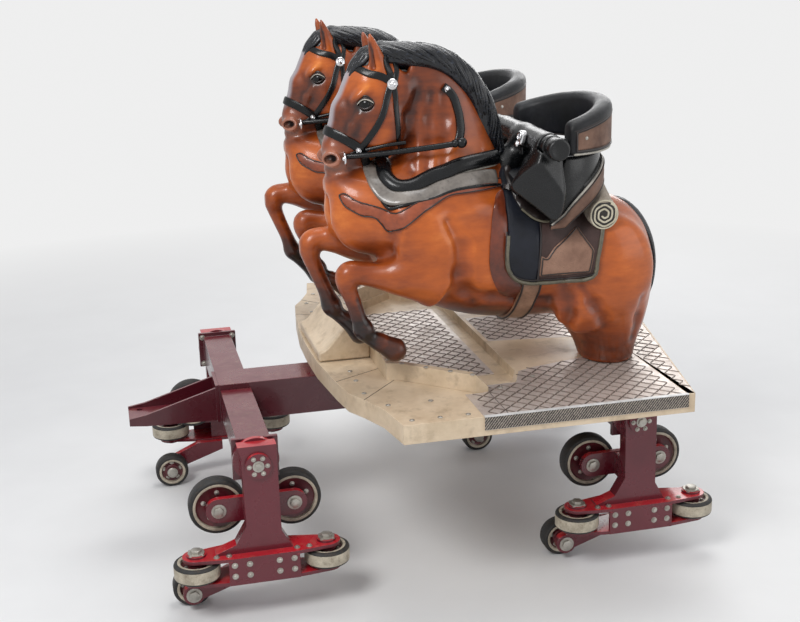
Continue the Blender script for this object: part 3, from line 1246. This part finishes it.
# Collar round the base of the neck and the flat band below it
collar_rows = [
    (138, 0, 1444), (146, 50, 1434), (150, 92, 1404), (122, 128, 1374), (66, 146, 1386), (0, 146, 1412),
    (-90, 134, 1432), (-180, 112, 1442), (-250, 78, 1446)]
band_rows = [
    (180, 0, 1426), (186, 56, 1414), (178, 110, 1370), (140, 148, 1336), (62, 170, 1354), (-50, 172, 1390),
    (-150, 160, 1398), (-240, 132, 1398)]


def lowered(rows, amount):
    """Rows moved down the horse's side, and forwards where they cross its chest."""
    out = []
    for x, y, z in even(rows, 14):
        w = min(1, abs(y) / 90)
        out.append((x + amount * (1 - w), y, z - amount * w))
    return out


def whole(rows):
    """Near-side rows continued over the middle to the far side."""
    return mirrored(rows, -1)[:0:-1] + list(rows)


def add_collar():
    """Each roll or band, and the cord below it: rows, drop, and width, thickness, material and sink."""
    bag = Bag()
    for rows, drop, main, cord in (
            (collar_rows, 26, (0.050, 0.038, 0, 0.012, 1.0), (0.009, 0.010, 1, 0.002)),
            (band_rows, 29, (0.050, 0.017, 2, 0.006, 0.6), (0.013, 0.014, 0, 0.004))):
        rows = whole(rows)
        strap(bag, rows, *main, sides=16)
        strap(bag, lowered(rows, drop), *cord, square=1.0, sides=8)
    on_horses(bag, "collar", "tack piping band", "tack_black")


# Panels on the horse, seen from the side: x and z
breast_outline = [
    (300, 1352), (288, 1316), (232, 1284), (196, 1284), (161, 1232), (126, 1244), (52, 1296), (-46, 1336),
    (-236, 1344), (-236, 1372), (-48, 1374), (84, 1324), (140, 1296), (186, 1318), (250, 1336), (280, 1360)]
edge_outline = [
    (-204, 1330), (-182, 1270), (-162, 1180), (-160, 1104), (-180, 1044), (-213, 999), (-262, 980),
    (-300, 984), (-306, 1020), (-262, 1040), (-222, 1080), (-214, 1130), (-226, 1230), (-236, 1340)]
navy_outline = [
    (-228, 1400), (-232, 1300), (-230, 1230), (-217, 1150), (-219, 1108), (-232, 1078), (-256, 1056),
    (-292, 1044), (-320, 1042), (-326, 1110), (-338, 1244), (-334, 1400)]
brown_outline = [
    (-334, 1400), (-338, 1244), (-326, 1110), (-320, 1042), (-403, 1040), (-510, 1048), (-524, 1110),
    (-542, 1180), (-566, 1250), (-576, 1320), (-560, 1400)]
tan_outline = [
    (-326, 1064), (-331, 1131), (-350, 1120), (-376, 1152), (-464, 1208), (-514, 1136), (-500, 1064)]
skirt_outline = [
    (-236, 1400), (-250, 1330), (-276, 1268), (-320, 1236), (-372, 1228), (-430, 1258), (-480, 1300),
    (-520, 1352), (-520, 1400)]


# Outline, corner radius in mm, height, material and how deep the panel sinks in
flaps = [(edge_outline, 40, 0.006, 0, 0.008), (navy_outline, 34, 0.014, 1, 0.006),
         (brown_outline, 30, 0.0135, 2, 0.006), (tan_outline, 7, 0.018, 3, 0.004),
         (skirt_outline, 30, 0.024, 5, 0.004)]
flap_foot = [
    (-224, 1200), (-217, 1150), (-219, 1108), (-232, 1078), (-256, 1056), (-292, 1044), (-330, 1041),
    (-403, 1040), (-506, 1048), (-524, 1112), (-542, 1180), (-560, 1236)]
flap_seam = [(-322, 1048), (-326, 1110), (-338, 1244), (-336, 1330)]
girth_rows = [(-284, 0, 878), (-286, 90, 890), (-292, 160, 920), (-298, 190, 960), (-304, 200, 1000),
              (-308, 204, 1046)]


def add_saddle():
    """The flaps and their piping, the girth, and the strap across the breast."""
    stitched = [(x + 9 * (x > -400) - 4, z + 12) for x, z in flap_foot]
    cords = [(curve(flap_foot, 4), 0.0075, 4, 0.011), (curve(stitched, 4), 0.0024, 5, 0.0145),
             (curve(flap_seam, 5), 0.003, 5, 0.0140), (curve(skirt_outline[2:-1], 4), 0.004, 4, 0.0235)]
    bag = Bag()
    for s in (1, -1):
        for outline, corner, height, material, sink in flaps:
            panel(bag, round_corners(outline, corner), height, s, material, sink)
        piping(bag, inset(round_corners(tan_outline, 7), 5), 0.0022, s, 5, 0.0182, flat=0.8)
        for line, radius, material, lift in cords:
            piping(bag, line, radius, s, material, lift, closed=False)
    girth = whole(girth_rows)
    strap(bag, girth, 0.068, 0.012, 6, square=0.25, step=12, sides=12)
    for shift in (-31, 31):
        edge = [(x + shift, y, z) for x, y, z in girth]
        strap(bag, edge, 0.007, 0.007, 5, sink=-0.0065, square=1.0, step=12, sides=8)
    on_horses(bag, "saddle", "skirt navy brown tan olive dark girth", "saddle_leather", "saddle", 45)
    bag = Bag()
    breast = round_corners(breast_outline, 18)
    for s in (1, -1):
        panel(bag, breast, 0.007, s, 0, sink=0.006)
        piping(bag, inset(breast, 3), 0.0022, s, 1, 0.0068)
    on_horses(bag, "breast_strap", "breast dark", "tack_black")


# Rolled blanket over the croup, as the solid has it
roll_x, roll_top_z, roll_drop, roll_half_l, roll_r = -548, 1334, 84, 204, 50


def add_blanket():
    """The roll with its soft folds, and at each end a dark disc with the cloth's pale spiral edge."""
    bag = Bag()
    count = 41
    t = np.linspace(-1, 1, count)
    drop = roll_drop * (1 - np.cos(math.pi * np.abs(t))) / 2
    path = np.stack([np.full(count, roll_x), roll_half_l * t, roll_top_z - drop], 1) * MM
    turn = turn_steps(36)

    def outline(i):
        r = roll_r * MM * (1 - 0.035 * np.cos(6 * turn + 0.6) + 0.012 * np.sin(8 * t[i] + 3 * turn))
        r = r * (0.94 if i in (0, count - 1) else 1)
        return np.stack([r * np.cos(turn), r * np.sin(turn)], 1)

    bag.rod(path, outline, (0, 0, 1))
    grow = np.linspace(0, 1, 110)
    angle = 2.6 * 2 * math.pi * grow + 0.4
    r = (0.0085 + 0.0345 * grow) * (1 - 0.03 * np.cos(6 * angle))
    for i, s in ((0, -1), (count - 1, 1)):
        n = np.array((0, s, 0))
        lathe(bag, [(-0.002, 0.0455), (0.0015, 0.0455), (0.002, 0.044)], path[i], n, 40, 1)
        spiral = np.stack([r * np.cos(angle), np.full(110, s * 0.0025), -r * np.sin(angle)], 1)
        bag.rod(path[i] + spiral, round_outline(0.0032, 0.0022), n, 2)
        torus(bag, (path[i] + n * 0.001) / MM, 46, 3, n, 2, 8, 40)
    on_horses(bag, "blanket_roll", "roll grease cream", "blanket_roll", "blanket")


def add_eyes():
    bag = Bag()
    for s in (1, -1):
        n = Vector((0.42, 0.90 * s, 0.10)).normalized()
        u = Vector((0.90, -0.42 * s, -0.10)).normalized()
        u = (u - n * u.dot(n)).normalized()
        v = Vector((0, 0, 1))
        v = (v - n * v.dot(n) - u * v.dot(u)).normalized()
        centre = Vector((eye_place[0], s * eye_place[1], eye_place[2]))
        ball(bag, centre, (22, 26), 0, n)
        ball(bag, centre + n * 17.5, (5.5, 13), 2, n)
        for rise, out, radius, mat in ((18, 18, 3.6, 1), (14.5, 21.5, 1.9, 3), (-14, 17, 3.2, 1),
                                       (25, 12, 3.2, 1)):
            t = np.linspace(-1, 1, 17)
            arc = [(centre + u * (27 * q) + v * (rise * (1 - q * q)) + n * (out - 9 * q * q)) * MM
                   for q in t.tolist()]
            tube(bag, arc, radius * MM * (1 - 0.45 * t ** 4), 8, mat, tuple(n))
    on_horses(bag, "eyes", "eye lid pupil piping", "horse_coat")


# Mane and tail
MANE_LOCKS, FORELOCKS, TAIL_LOCKS = 92, 26, 34


def draw(*spans):
    """A random number from each span."""
    return [rng.uniform(low, high) for low, high in spans]


def lock(bag, line, radius):
    """One tapered lock of hair along pairs of place and outward direction, flat against what it lies on."""
    t = np.linspace(0, 1, len(line))
    r = radius * np.minimum(1, 0.35 + 5 * t) * (1 - t ** 2.4) ** 0.8 + 0.0006
    places, outs = zip(*line)
    bag.rod(places, lambda i: round_outline(r[i], r[i] * 0.55, 7), outs)


def mane_place(s, a, lift):
    """A place s rows along the mane's core and at an angle from its top, and the way outwards there."""
    rows = np.array(mane_table, float)
    i = int(np.clip(math.floor(s), 0, len(rows) - 2))
    r = rows[i] + (s - i) * (rows[i + 1] - rows[i])
    mid, half = (r[0:2] + r[2:4]) / 2, (r[2:4] - r[0:2]) / 2
    p = np.array([mid[0] + half[0] * math.cos(a), r[4] * math.sin(a), mid[1] + half[1] * math.cos(a)])
    flat = unit(half) * math.cos(a)
    out = np.array([flat[0], math.sin(a), flat[1]])
    return (p + out * lift) * MM, out


def add_mane():
    """A core along the crest under tapered locks that run back and down, and a forelock on the brow."""
    bag = Bag()
    core, turns = [], turn_steps(40)
    for i, row in enumerate(curve(mane_table, 6)):
        ring = cross_ring(row, 40)
        swell = 1 + 0.05 * np.cos(7 * turns + 0.31 * i) * np.sin(0.19 * i + 3 * turns)
        core.append(ring.mean(0) + (ring - ring.mean(0)) * swell[:, None])
    bag.loft(np.array(core) * MM)
    for side in (1, -1):
        for k in range(MANE_LOCKS):
            first = 1.0 + 7.9 * (k + rng.uniform(0, 0.8)) / MANE_LOCKS
            fall, turn, start, wave, phase, high = draw((1.7, 3.0), (1.45, 2.05), (-0.3, 0.35), (0.03, 0.09),
                                                        (0, 6.3), (1.5, 6.5))
            line = []
            for t in np.linspace(0, 1, 15):
                a = side * (start + (turn - start) * t ** 1.15 + wave * math.sin(phase + 7 * t))
                lift = high * math.sin(math.pi * min(1, t * 1.1 + 0.1)) + 0.5
                line.append(mane_place(max(first - fall * t, 0.02), a, lift))
            lock(bag, line, rng.uniform(0.0048, 0.0080))
    for _ in range(FORELOCKS):
        first, start, wave, phase, end = draw((6.6, 8.0), (-1.2, 1.2), (0.05, 0.16), (0, 6.3), (10.0, 10.9))
        line = []
        for t in np.linspace(0, 1, 16):
            a = start * (1 - 0.25 * t) + wave * math.sin(phase + 9 * t)
            lift = 7 * math.sin(math.pi * min(1, t + 0.12)) + 1
            line.append(mane_place(first + (end - first) * t, a, lift))
        lock(bag, line, rng.uniform(0.006, 0.0095))
    add_tail(bag)
    on_horses(bag, "mane", "hair", "mane_black", "mane")


def add_tail(bag):
    """A flat core that hangs from the croup, with locks over its back."""
    tail = curve(tail_table, 5)
    path, thick, wide = tail[:, :3] * MM, tail[:, 3] * MM, tail[:, 4] * MM
    across = np.array([0.0, 1.0, 0.0])
    top = np.cross(unit(np.gradient(path, axis=0)), across)
    turn = turn_steps(28)
    bag.loft([p + np.outer(np.cos(turn), across) * w + np.outer(np.sin(turn), up) * th
              for p, th, w, up in zip(path, thick, wide, top)])
    back = -1 if top[len(path) // 2][0] > 0 else 1
    for _ in range(TAIL_LOCKS):
        start, first, length, wave, phase = draw((-1.35, 1.35), (0, 8), (14, 20), (0.05, 0.16), (0, 6.3))
        line = []
        for t in np.linspace(0, 1, 16):
            q = min(first + length * t, len(path) - 1.01)
            i = int(q)
            middle, out = path[i] + (q - i) * (path[i + 1] - path[i]), back * top[i]
            a = start + wave * math.sin(phase + 6 * t)
            sideways, outwards = math.sin(a), math.cos(a)
            p = middle + across * wide[i] * sideways + out * (thick[i] * outwards + 0.002)
            line.append((p, across * sideways + out * outwards))
        lock(bag, line, rng.uniform(0.005, 0.0085))


# Seat: sizes in mm, as the solids have them
BAR_X, BAR_Z, HUB_Y, HUB_W, HUB_R = -350, 1488, 249, 28, 37
RING_X, RING_Z, RING_W, RING_DEPTH, RING_T = -400, 1460, 280, 224, 62
RING_WALL, RING_TOP, RING_RISE = RING_T / 2 * 0.92, 1563, 56
SHELL_W, SHELL_DEPTH, SHELL_FOOT, SHELL_TOP, BAND_HEIGHT = 250, 204, 1222, 1450, 50
SEAT_FRONT, SEAT_TOP = -262, 1392


def shoe(angle, half_w, depth):
    """A place on a half ellipse behind the rider, from one side at 0 to the other at pi."""
    return np.array([RING_X - depth * math.sin(angle), half_w * math.cos(angle)])


def ring_top(angle):
    return RING_TOP + RING_RISE * math.sin(angle)


def out_from(angle):
    return unit(shoe(angle, 1, 1) - (RING_X, 0))


def outs_from(angles):
    return [(*out_from(a), 0) for a in angles]


def ring_place(angle, across, z):
    """A place on the back ring: mm out from the middle of its padding, and a height."""
    p = shoe(angle, RING_W - RING_T / 2, RING_DEPTH - RING_T / 2) + out_from(angle) * across
    return np.array([*p, z]) * MM


def patch_place(angle, part, out):
    """A place mm off a brown patch, at a part of its height."""
    low, high = RING_Z + 13, ring_top(angle) - 36
    return ring_place(angle, RING_WALL + out, low + (high - low) * part)


def pad_section(angle, scale):
    """Outline of the padding: a straight wall under a wide round top."""
    half, low, top = RING_T / 2, RING_Z, ring_top(angle)
    arch, corner, wall = half * 0.86, 11, top - low - half
    points = [(half * math.cos(a), top - arch + arch * math.sin(a)) for a in np.linspace(0, math.pi, 15)]
    points += [(-half * part, low + z * wall) for z, part in ((0.66, 0.97), (0.4, 0.955), (0.16, 0.955))]
    for x, start in ((-half * 0.95 + corner, math.pi), (RING_WALL - corner, 1.5 * math.pi)):
        points += [(x + corner * math.cos(a), low + corner + corner * math.sin(a))
                   for a in np.linspace(start, start + math.pi / 2, 5)]
    points += [(RING_WALL, low + z * wall) for z in (0.16, 0.4, 0.66)]
    mid = np.array([0, (low + top) / 2])
    return mid + (np.array(points) - mid) * scale


def add_patch(bag, start, end):
    """A brown patch on the back of the padding, with its piping, stitches and stud."""
    steps, rows = 26, 6
    grid = []
    for i in range(steps + 1):
        for j in range(rows + 1):
            rim = i in (0, steps) or j in (0, rows)
            grid.append(patch_place(start + (end - start) * i / steps, j / rows, 0.4 if rim else 2.2))
    faces = [(a, d, c, b) for a, b, c, d in grid_faces(steps, rows)]
    bag.add(grid, faces if start > end else [f[::-1] for f in faces])
    border, corners = [], [(start, 0), (end, 0), (end, 1), (start, 1), (start, 0)]
    for (a0, h0), (a1, h1) in zip(corners[:-1], corners[1:]):
        for t in np.linspace(0, 1, 22 if a0 != a1 else 6)[:-1]:
            border.append((a0 + t * (a1 - a0), h0 + t * (h1 - h0)))
    border.append(border[0])
    bag.rod([patch_place(a, h, 1.5) for a, h in border], round_outline(0.0032, 0.0026),
            outs_from(a for a, h in border), 1)
    for a in start + (end - start) * (np.arange(34) + 0.5) / 34:
        for h in (0.07, 0.93):
            z = patch_place(a, h, 0)[2] / MM
            tube(bag, [ring_place(a + q, RING_WALL + 2.6, z) for q in (-0.006, 0.006)], 0.0008, 5, 1)
    a = start + (end - start) * 0.13
    stud = ring_place(a, RING_WALL + 1.5, RING_Z + 52)
    lathe(bag, [(0, 0.006), (0.002, 0.0055), (0.0035, 0.002)], stud, (*out_from(a), 0), 16, 3)


def add_back_ring(side, y):
    """The padding, and the patches, piping, hubs and arms that move with it."""
    body = "back_ring_" + side
    bag = Bag()
    ends = [(0.0, 0.78), (0.012, 0.90), (0.035, 0.97), (0.07, 1.0)]
    turns = ends + [(a, 1.0) for a in np.linspace(0.12, math.pi - 0.12, 60)]
    turns += [(math.pi - a, scale) for a, scale in ends[::-1]]
    bag.loft([[ring_place(a, u, z) for u, z in pad_section(a, scale)] for a, scale in turns])
    pad = bag.done(body + "_pad", "pad", y, body=body, slot="ring_pad", replaces=(body,))
    bag = Bag()
    add_patch(bag, 0.10, 1.28)
    add_patch(bag, math.pi - 0.10, math.pi - 1.28)
    angles = np.linspace(0.06, math.pi - 0.06, 70)
    half = RING_T / 2
    for across, z, r, material in ((half * 0.9 - 3, RING_Z + 3, 0.0042, 2),
                                   (-half * 0.9 + 2, RING_Z + 3, 0.003, 1),
                                   (half * 0.93, None, 0.0024, 1)):
        line = [ring_place(a, across, z or ring_top(a) - 31) for a in angles]
        bag.rod(line, round_outline(r, r), outs_from(angles), material)
    hub = [(-14, 20.3), (-14, 34), (-12.5, 36.5), (-10, 37), (10, 37), (12.5, 36.5), (14, 34), (14, 20.3)]
    for s in (-1, 1):
        centre = np.array([BAR_X, s * HUB_Y, BAR_Z]) * MM
        lathe(bag, np.array(hub) * MM, centre, (0, 1, 0), 48, 4)
        arm = [(x * MM, *centre[1:]) for x in (-432, -424, -410, -390, -376, -368)]
        bag.rod(arm, lambda i: round_outline(0.0139, 0.024 * (0.9 if i == 0 else 1), 24, 0.35), (0, 0, 1), 4)
    mark_sharp(bag.done(body + "_trim", "patch dark piping zinc satin", y, body=body, slot="ring_pad"), 50)


def shell_wall(angle):
    """At an angle: the wall's foot, the brown band's height, and the part left of the wall's height."""
    rise = max(math.sin(angle), 0) ** 0.8
    short = max(0.12, 1 + min(angle, math.pi - angle, 0) / 0.3)
    return SHELL_FOOT + 130 * rise, BAND_HEIGHT + 22 * rise, short


def shell_profile(angle):
    """The bucket's wall at an angle: inset from its outside and height, with the finish of each stretch."""
    foot, band, short = shell_wall(angle)
    edge = foot + band
    rows = [(40, foot + 8, 0), (36, foot + 1, 0), (8, foot, 1), (2, foot + 3, 1), (0, foot + 10, 1),
            (-1, foot + band * 0.5, 1), (0, edge - 8, 1), (3, edge - 2, 0), (10, edge, 0),
            (15, edge + 5, 0), (16, edge + 12, 0), (14, (edge + SHELL_TOP) / 2, 0),
            (16, SHELL_TOP - 14, 0), (19, SHELL_TOP - 4, 0), (25, SHELL_TOP, 0), (33, SHELL_TOP, 0),
            (39, SHELL_TOP - 5, 0), (40, SHELL_TOP - 14, 0)]
    return [(u, foot + short * (z - foot), mat) for u, z, mat in rows]


def shell_point(angle, inset_by, z):
    return np.array([*shoe(angle, SHELL_W - inset_by, SHELL_DEPTH - inset_by), z]) * MM


def add_shell():
    """Bucket round the seat: black wall, brown band with pale piping along its top, and the seat inside."""
    bag = Bag()
    angles = np.linspace(-0.24, math.pi + 0.24, 65)
    rows = [shell_profile(a) for a in angles]
    rings = np.array([[shell_point(a, u, z) for u, z, _ in row] for a, row in zip(angles, rows)])
    count, sides = rings.shape[:2]
    faces = [tuple(reversed(f)) for f in ring_faces(count, sides)]
    bag.add(rings.reshape(-1, 3), faces, [mat for _, _, mat in rows[0]] * (count - 1) + [0, 0])
    angles = np.linspace(-0.22, math.pi + 0.22, 90)
    for u, part, r, material in ((6, 1.0, 0.0042, 2), (-0.5, 0.93, 0.0016, 3), (-0.5, 0.07, 0.0016, 3)):
        line = []
        for a in angles:
            foot, band, short = shell_wall(a)
            line.append(shell_point(a, u, foot + short * band * part))
        bag.rod(line, round_outline(r, r), outs_from(angles), material)
    add_seat(bag, 24)
    on_horses(bag, "seat_shell", "satin patch piping dark pad", "seat_black", "seat_shell", 42)


def grid_faces(rows, columns):
    """Faces of a grid of points, row by row."""
    m = columns + 1
    return [(i * m + j, (i + 1) * m + j, (i + 1) * m + j + 1, i * m + j + 1)
            for i in range(rows) for j in range(columns)]


def add_seat(bag, n):
    """The seat's cushion: two grids of points, one over the other, joined round their rim."""
    back = RING_X - SHELL_DEPTH + 36
    grid = []
    for layer in (0, 1):
        for v in np.arange(n + 1) / n:
            x = SEAT_FRONT + v * (back - SEAT_FRONT)
            reach = (RING_X - x) / (SHELL_DEPTH - 38)
            part = math.sqrt(max(1 - reach ** 2, 0.01)) if reach > 0 else 0.80 + 0.20 * min(v * 3, 1)
            side = (SHELL_W - 38) * part
            for u in np.linspace(-1, 1, n + 1):
                top = SEAT_TOP + 20 * abs(u) ** 2.5 * min(1, v * 2) + 16 * v ** 3
                top -= 26 * (1 - min(1, v * 3)) * u * u
                grid.append((x * MM, u * side * MM, (top if layer else min(top, SEAT_TOP) - 40) * MM))
    m = n + 1
    low = grid_faces(n, n)
    faces = [tuple(i + m * m for i in reversed(f)) for f in low] + low
    rim = list(range(m)) + [i * m + n for i in range(1, m)] + [n * m + j for j in range(n - 1, -1, -1)]
    rim += [i * m for i in range(n - 1, 0, -1)]
    faces += [(a, b, b + m * m, a + m * m) for a, b in zip(rim, rim[1:] + rim[:1])]
    bag.add(grid, faces, 4)


guard_table = [
    [1256, -350, 12, 10], [1290, -343, 40, 34], [1330, -326, 70, 62], [1362, -312, 88, 80],
    [1400, -318, 74, 84], [1440, -332, 54, 84], [1480, -344, 42, 82], [1506, -348, 26, 60]]
guard_ys = [270, 262, 248, 238, 232, 228, 226, 224]
# A point and a direction for each flat of a guard
guard_flats = [((-330, 304, 1350), (-0.16, 0.95, 0.27)), ((-262, 286, 1352), (0.80, 0.58, 0.14)),
               ((-300, 284, 1440), (0.46, 0.86, -0.20))]


def carve_crossbar():
    """The padded roll, its thigh guards and pommel in one moulding, with slots for the back ring."""
    s = Sculpt((-440, -344, 1232), (-188, 344, 1564))
    rows = curve([r + [y] for r, y in zip(guard_table, guard_ys)], 5)
    for side in (1, -1):
        s.loft([level_ring(r, side * r[4], 40) for r in rows])
    x, y, z = (axis / MM for axis in np.meshgrid(*s.axes, indexing="ij", sparse=True))
    y = np.abs(y)
    for place, way in guard_flats:
        way = unit(np.array(way))
        out = (x - place[0]) * way[0] + (y - place[1]) * way[1] + (z - place[2]) * way[2]
        s.field = soft_max(s.field, (out * MM).astype(np.float32), 0.006)
    s.ridge([(BAR_X, 0, BAR_Z, 41), (BAR_X, 222, BAR_Z, 39)], 0.016)
    s.ridge([(BAR_X, 210, BAR_Z, 36), (BAR_X, 262, BAR_Z, 35)], 0.010)
    s.ridge([(BAR_X + 4, 0, BAR_Z - 12, 36), (-272, 0, 1392, 42), (-252, 0, 1350, 46)], 0.04)
    s.blur()
    gap = 6
    across = np.abs(y - HUB_Y) - (HUB_W / 2 + gap)
    disc = np.sqrt((x - BAR_X) ** 2 + (z - BAR_Z) ** 2) - (HUB_R + gap)
    arm = np.maximum(x - BAR_X, np.maximum(BAR_Z - 36 - z, z - BAR_Z - 64))
    slot_cut = np.maximum(across, np.minimum(disc, arm)) * MM
    s.field = soft_max(s.field, -slot_cut.astype(np.float32), 0.004)
    return s.mesh()


def add_crossbar():
    """The moulding with its end caps and shaft, and the small handle with its ring and lever."""
    bag = Bag()
    bag.add(*carve_crossbar())
    cap = [(0, 20), (0, 33), (2, 35), (44, 35), (48, 34), (51, 31), (52, 27), (51, 24), (51, 0)]
    for side in (1, -1):
        lathe(bag, np.array(cap) * MM, (BAR_X * MM, side * 0.269, BAR_Z * MM), (0, side, 0))
    lathe(bag, [(-0.300, 0.0199), (0.300, 0.0199)], (BAR_X * MM, 0, BAR_Z * MM), (0, 1, 0), 32, 2)
    n = unit(np.array([0.97, 0.0, 0.22]))
    place = np.array([BAR_X, 104, BAR_Z]) + n * 48
    bag.rod([(place + n * h) * MM for h in (-4, 4, 9, 11)],
            lambda i: round_outline(0.024, 0.018, 24, 0.5) * (1, 1, 0.94, 0.8)[i], (0, 1, 0), 1)
    torus(bag, place + n * 13 + (0, 6, 4), 13, 3.4, n, 1)
    ball(bag, place + (14, -4, -20), (9, 11), 1)
    lever = [(place + (2, 0, z)) * MM for z in (-30, -37, -44, -51)]
    bag.rod(lever, round_outline(0.012, 0.005, 16, 0.6), n)
    on_horses(bag, "crossbar", "satin chrome steel", "seat_black", "crossbar", 50)


# Studio
lamps = [("key", (2.8, 3.4, 4.6), 1.8, 170), ("fill", (-4.2, 3.4, 2.4), 3.2, 50),
         ("top", (-0.6, -0.4, 5.2), 2.6, 90), ("back", (-2.4, -4.4, 3.0), 3.0, 80)]
lamp_aim = Vector((0, 0, 0.8))
backdrop_white = (0.86, 0.86, 0.86)
soft_light = (0.34, 0.35, 0.38)
floor_half = 30


def add_lamp(name, place, size, power):
    data = bpy.data.lights.new(name, "AREA")
    data.size = size
    data.energy = power
    lamp = bpy.data.objects.new(name, data)
    lamp.location = place
    lamp.rotation_euler = (lamp_aim - Vector(place)).to_track_quat("-Z", "Y").to_euler()
    bpy.context.collection.objects.link(lamp)


def add_world():
    """Plain soft light, and an even pale background for the camera and for mirrors."""
    world = bpy.data.worlds.new("world")
    bpy.context.scene.world = world
    world.use_nodes = True
    n = Nodes(world.node_tree)
    seen = 0.0
    for ray in ("Is Camera Ray", "Is Glossy Ray", "Is Transmission Ray"):
        seen = n.math("MAXIMUM", seen, n.node("LightPath", out=ray))
    n.put(n.tree.nodes["Background"].inputs["Color"], n.mix(seen, soft_light, backdrop_white))


def floor_material():
    """Pale floor that fades into the background far from the car and keeps its shadow near it."""
    s = Shade("floor", roughness=0.75, specular_ior_level=0.2)
    s.set("Base Color", s.mix(s.span(s.noise(3, 3), 0.3, 0.7), (0.80, 0.80, 0.79), (0.83, 0.83, 0.82)))
    glow = s.node("Emission", {"Color": backdrop_white, "Strength": 1.0})
    away = s.node("VectorMath", {0: s.node("TexCoord", out="Object")}, "Value", operation="LENGTH")
    blend = s.node("MixShader", {0: s.span(away, 2.2, 5.5), 1: s.bsdf.outputs[0], 2: glow})
    s.tree.links.new(blend, s.tree.nodes["Material Output"].inputs["Surface"])
    return s.mat


def add_studio():
    add_world()
    for lamp in lamps:
        add_lamp(*lamp)
    r = floor_half
    mesh = bpy.data.meshes.new("floor")
    mesh.from_pydata([(-r, -r, 0), (r, -r, 0), (r, r, 0), (-r, r, 0)], [], [(0, 1, 2, 3)])
    mesh.materials.append(floor_material())
    floor = bpy.data.objects.new("floor", mesh)
    bpy.context.collection.objects.link(floor)
    bpy.context.scene.view_settings.view_transform = "Standard"


# Making
add_camera()
dress_all()
add_wheels()
add_bogie_parts()
add_tread()
add_deck_parts()
skin = make_horse()
add_eyes()
add_bridle()
add_collar()
add_saddle()
add_blanket()
add_mane()
for side, y in SIDES.items():
    add_back_ring(side, y)
add_shell()
add_crossbar()

add_studio()
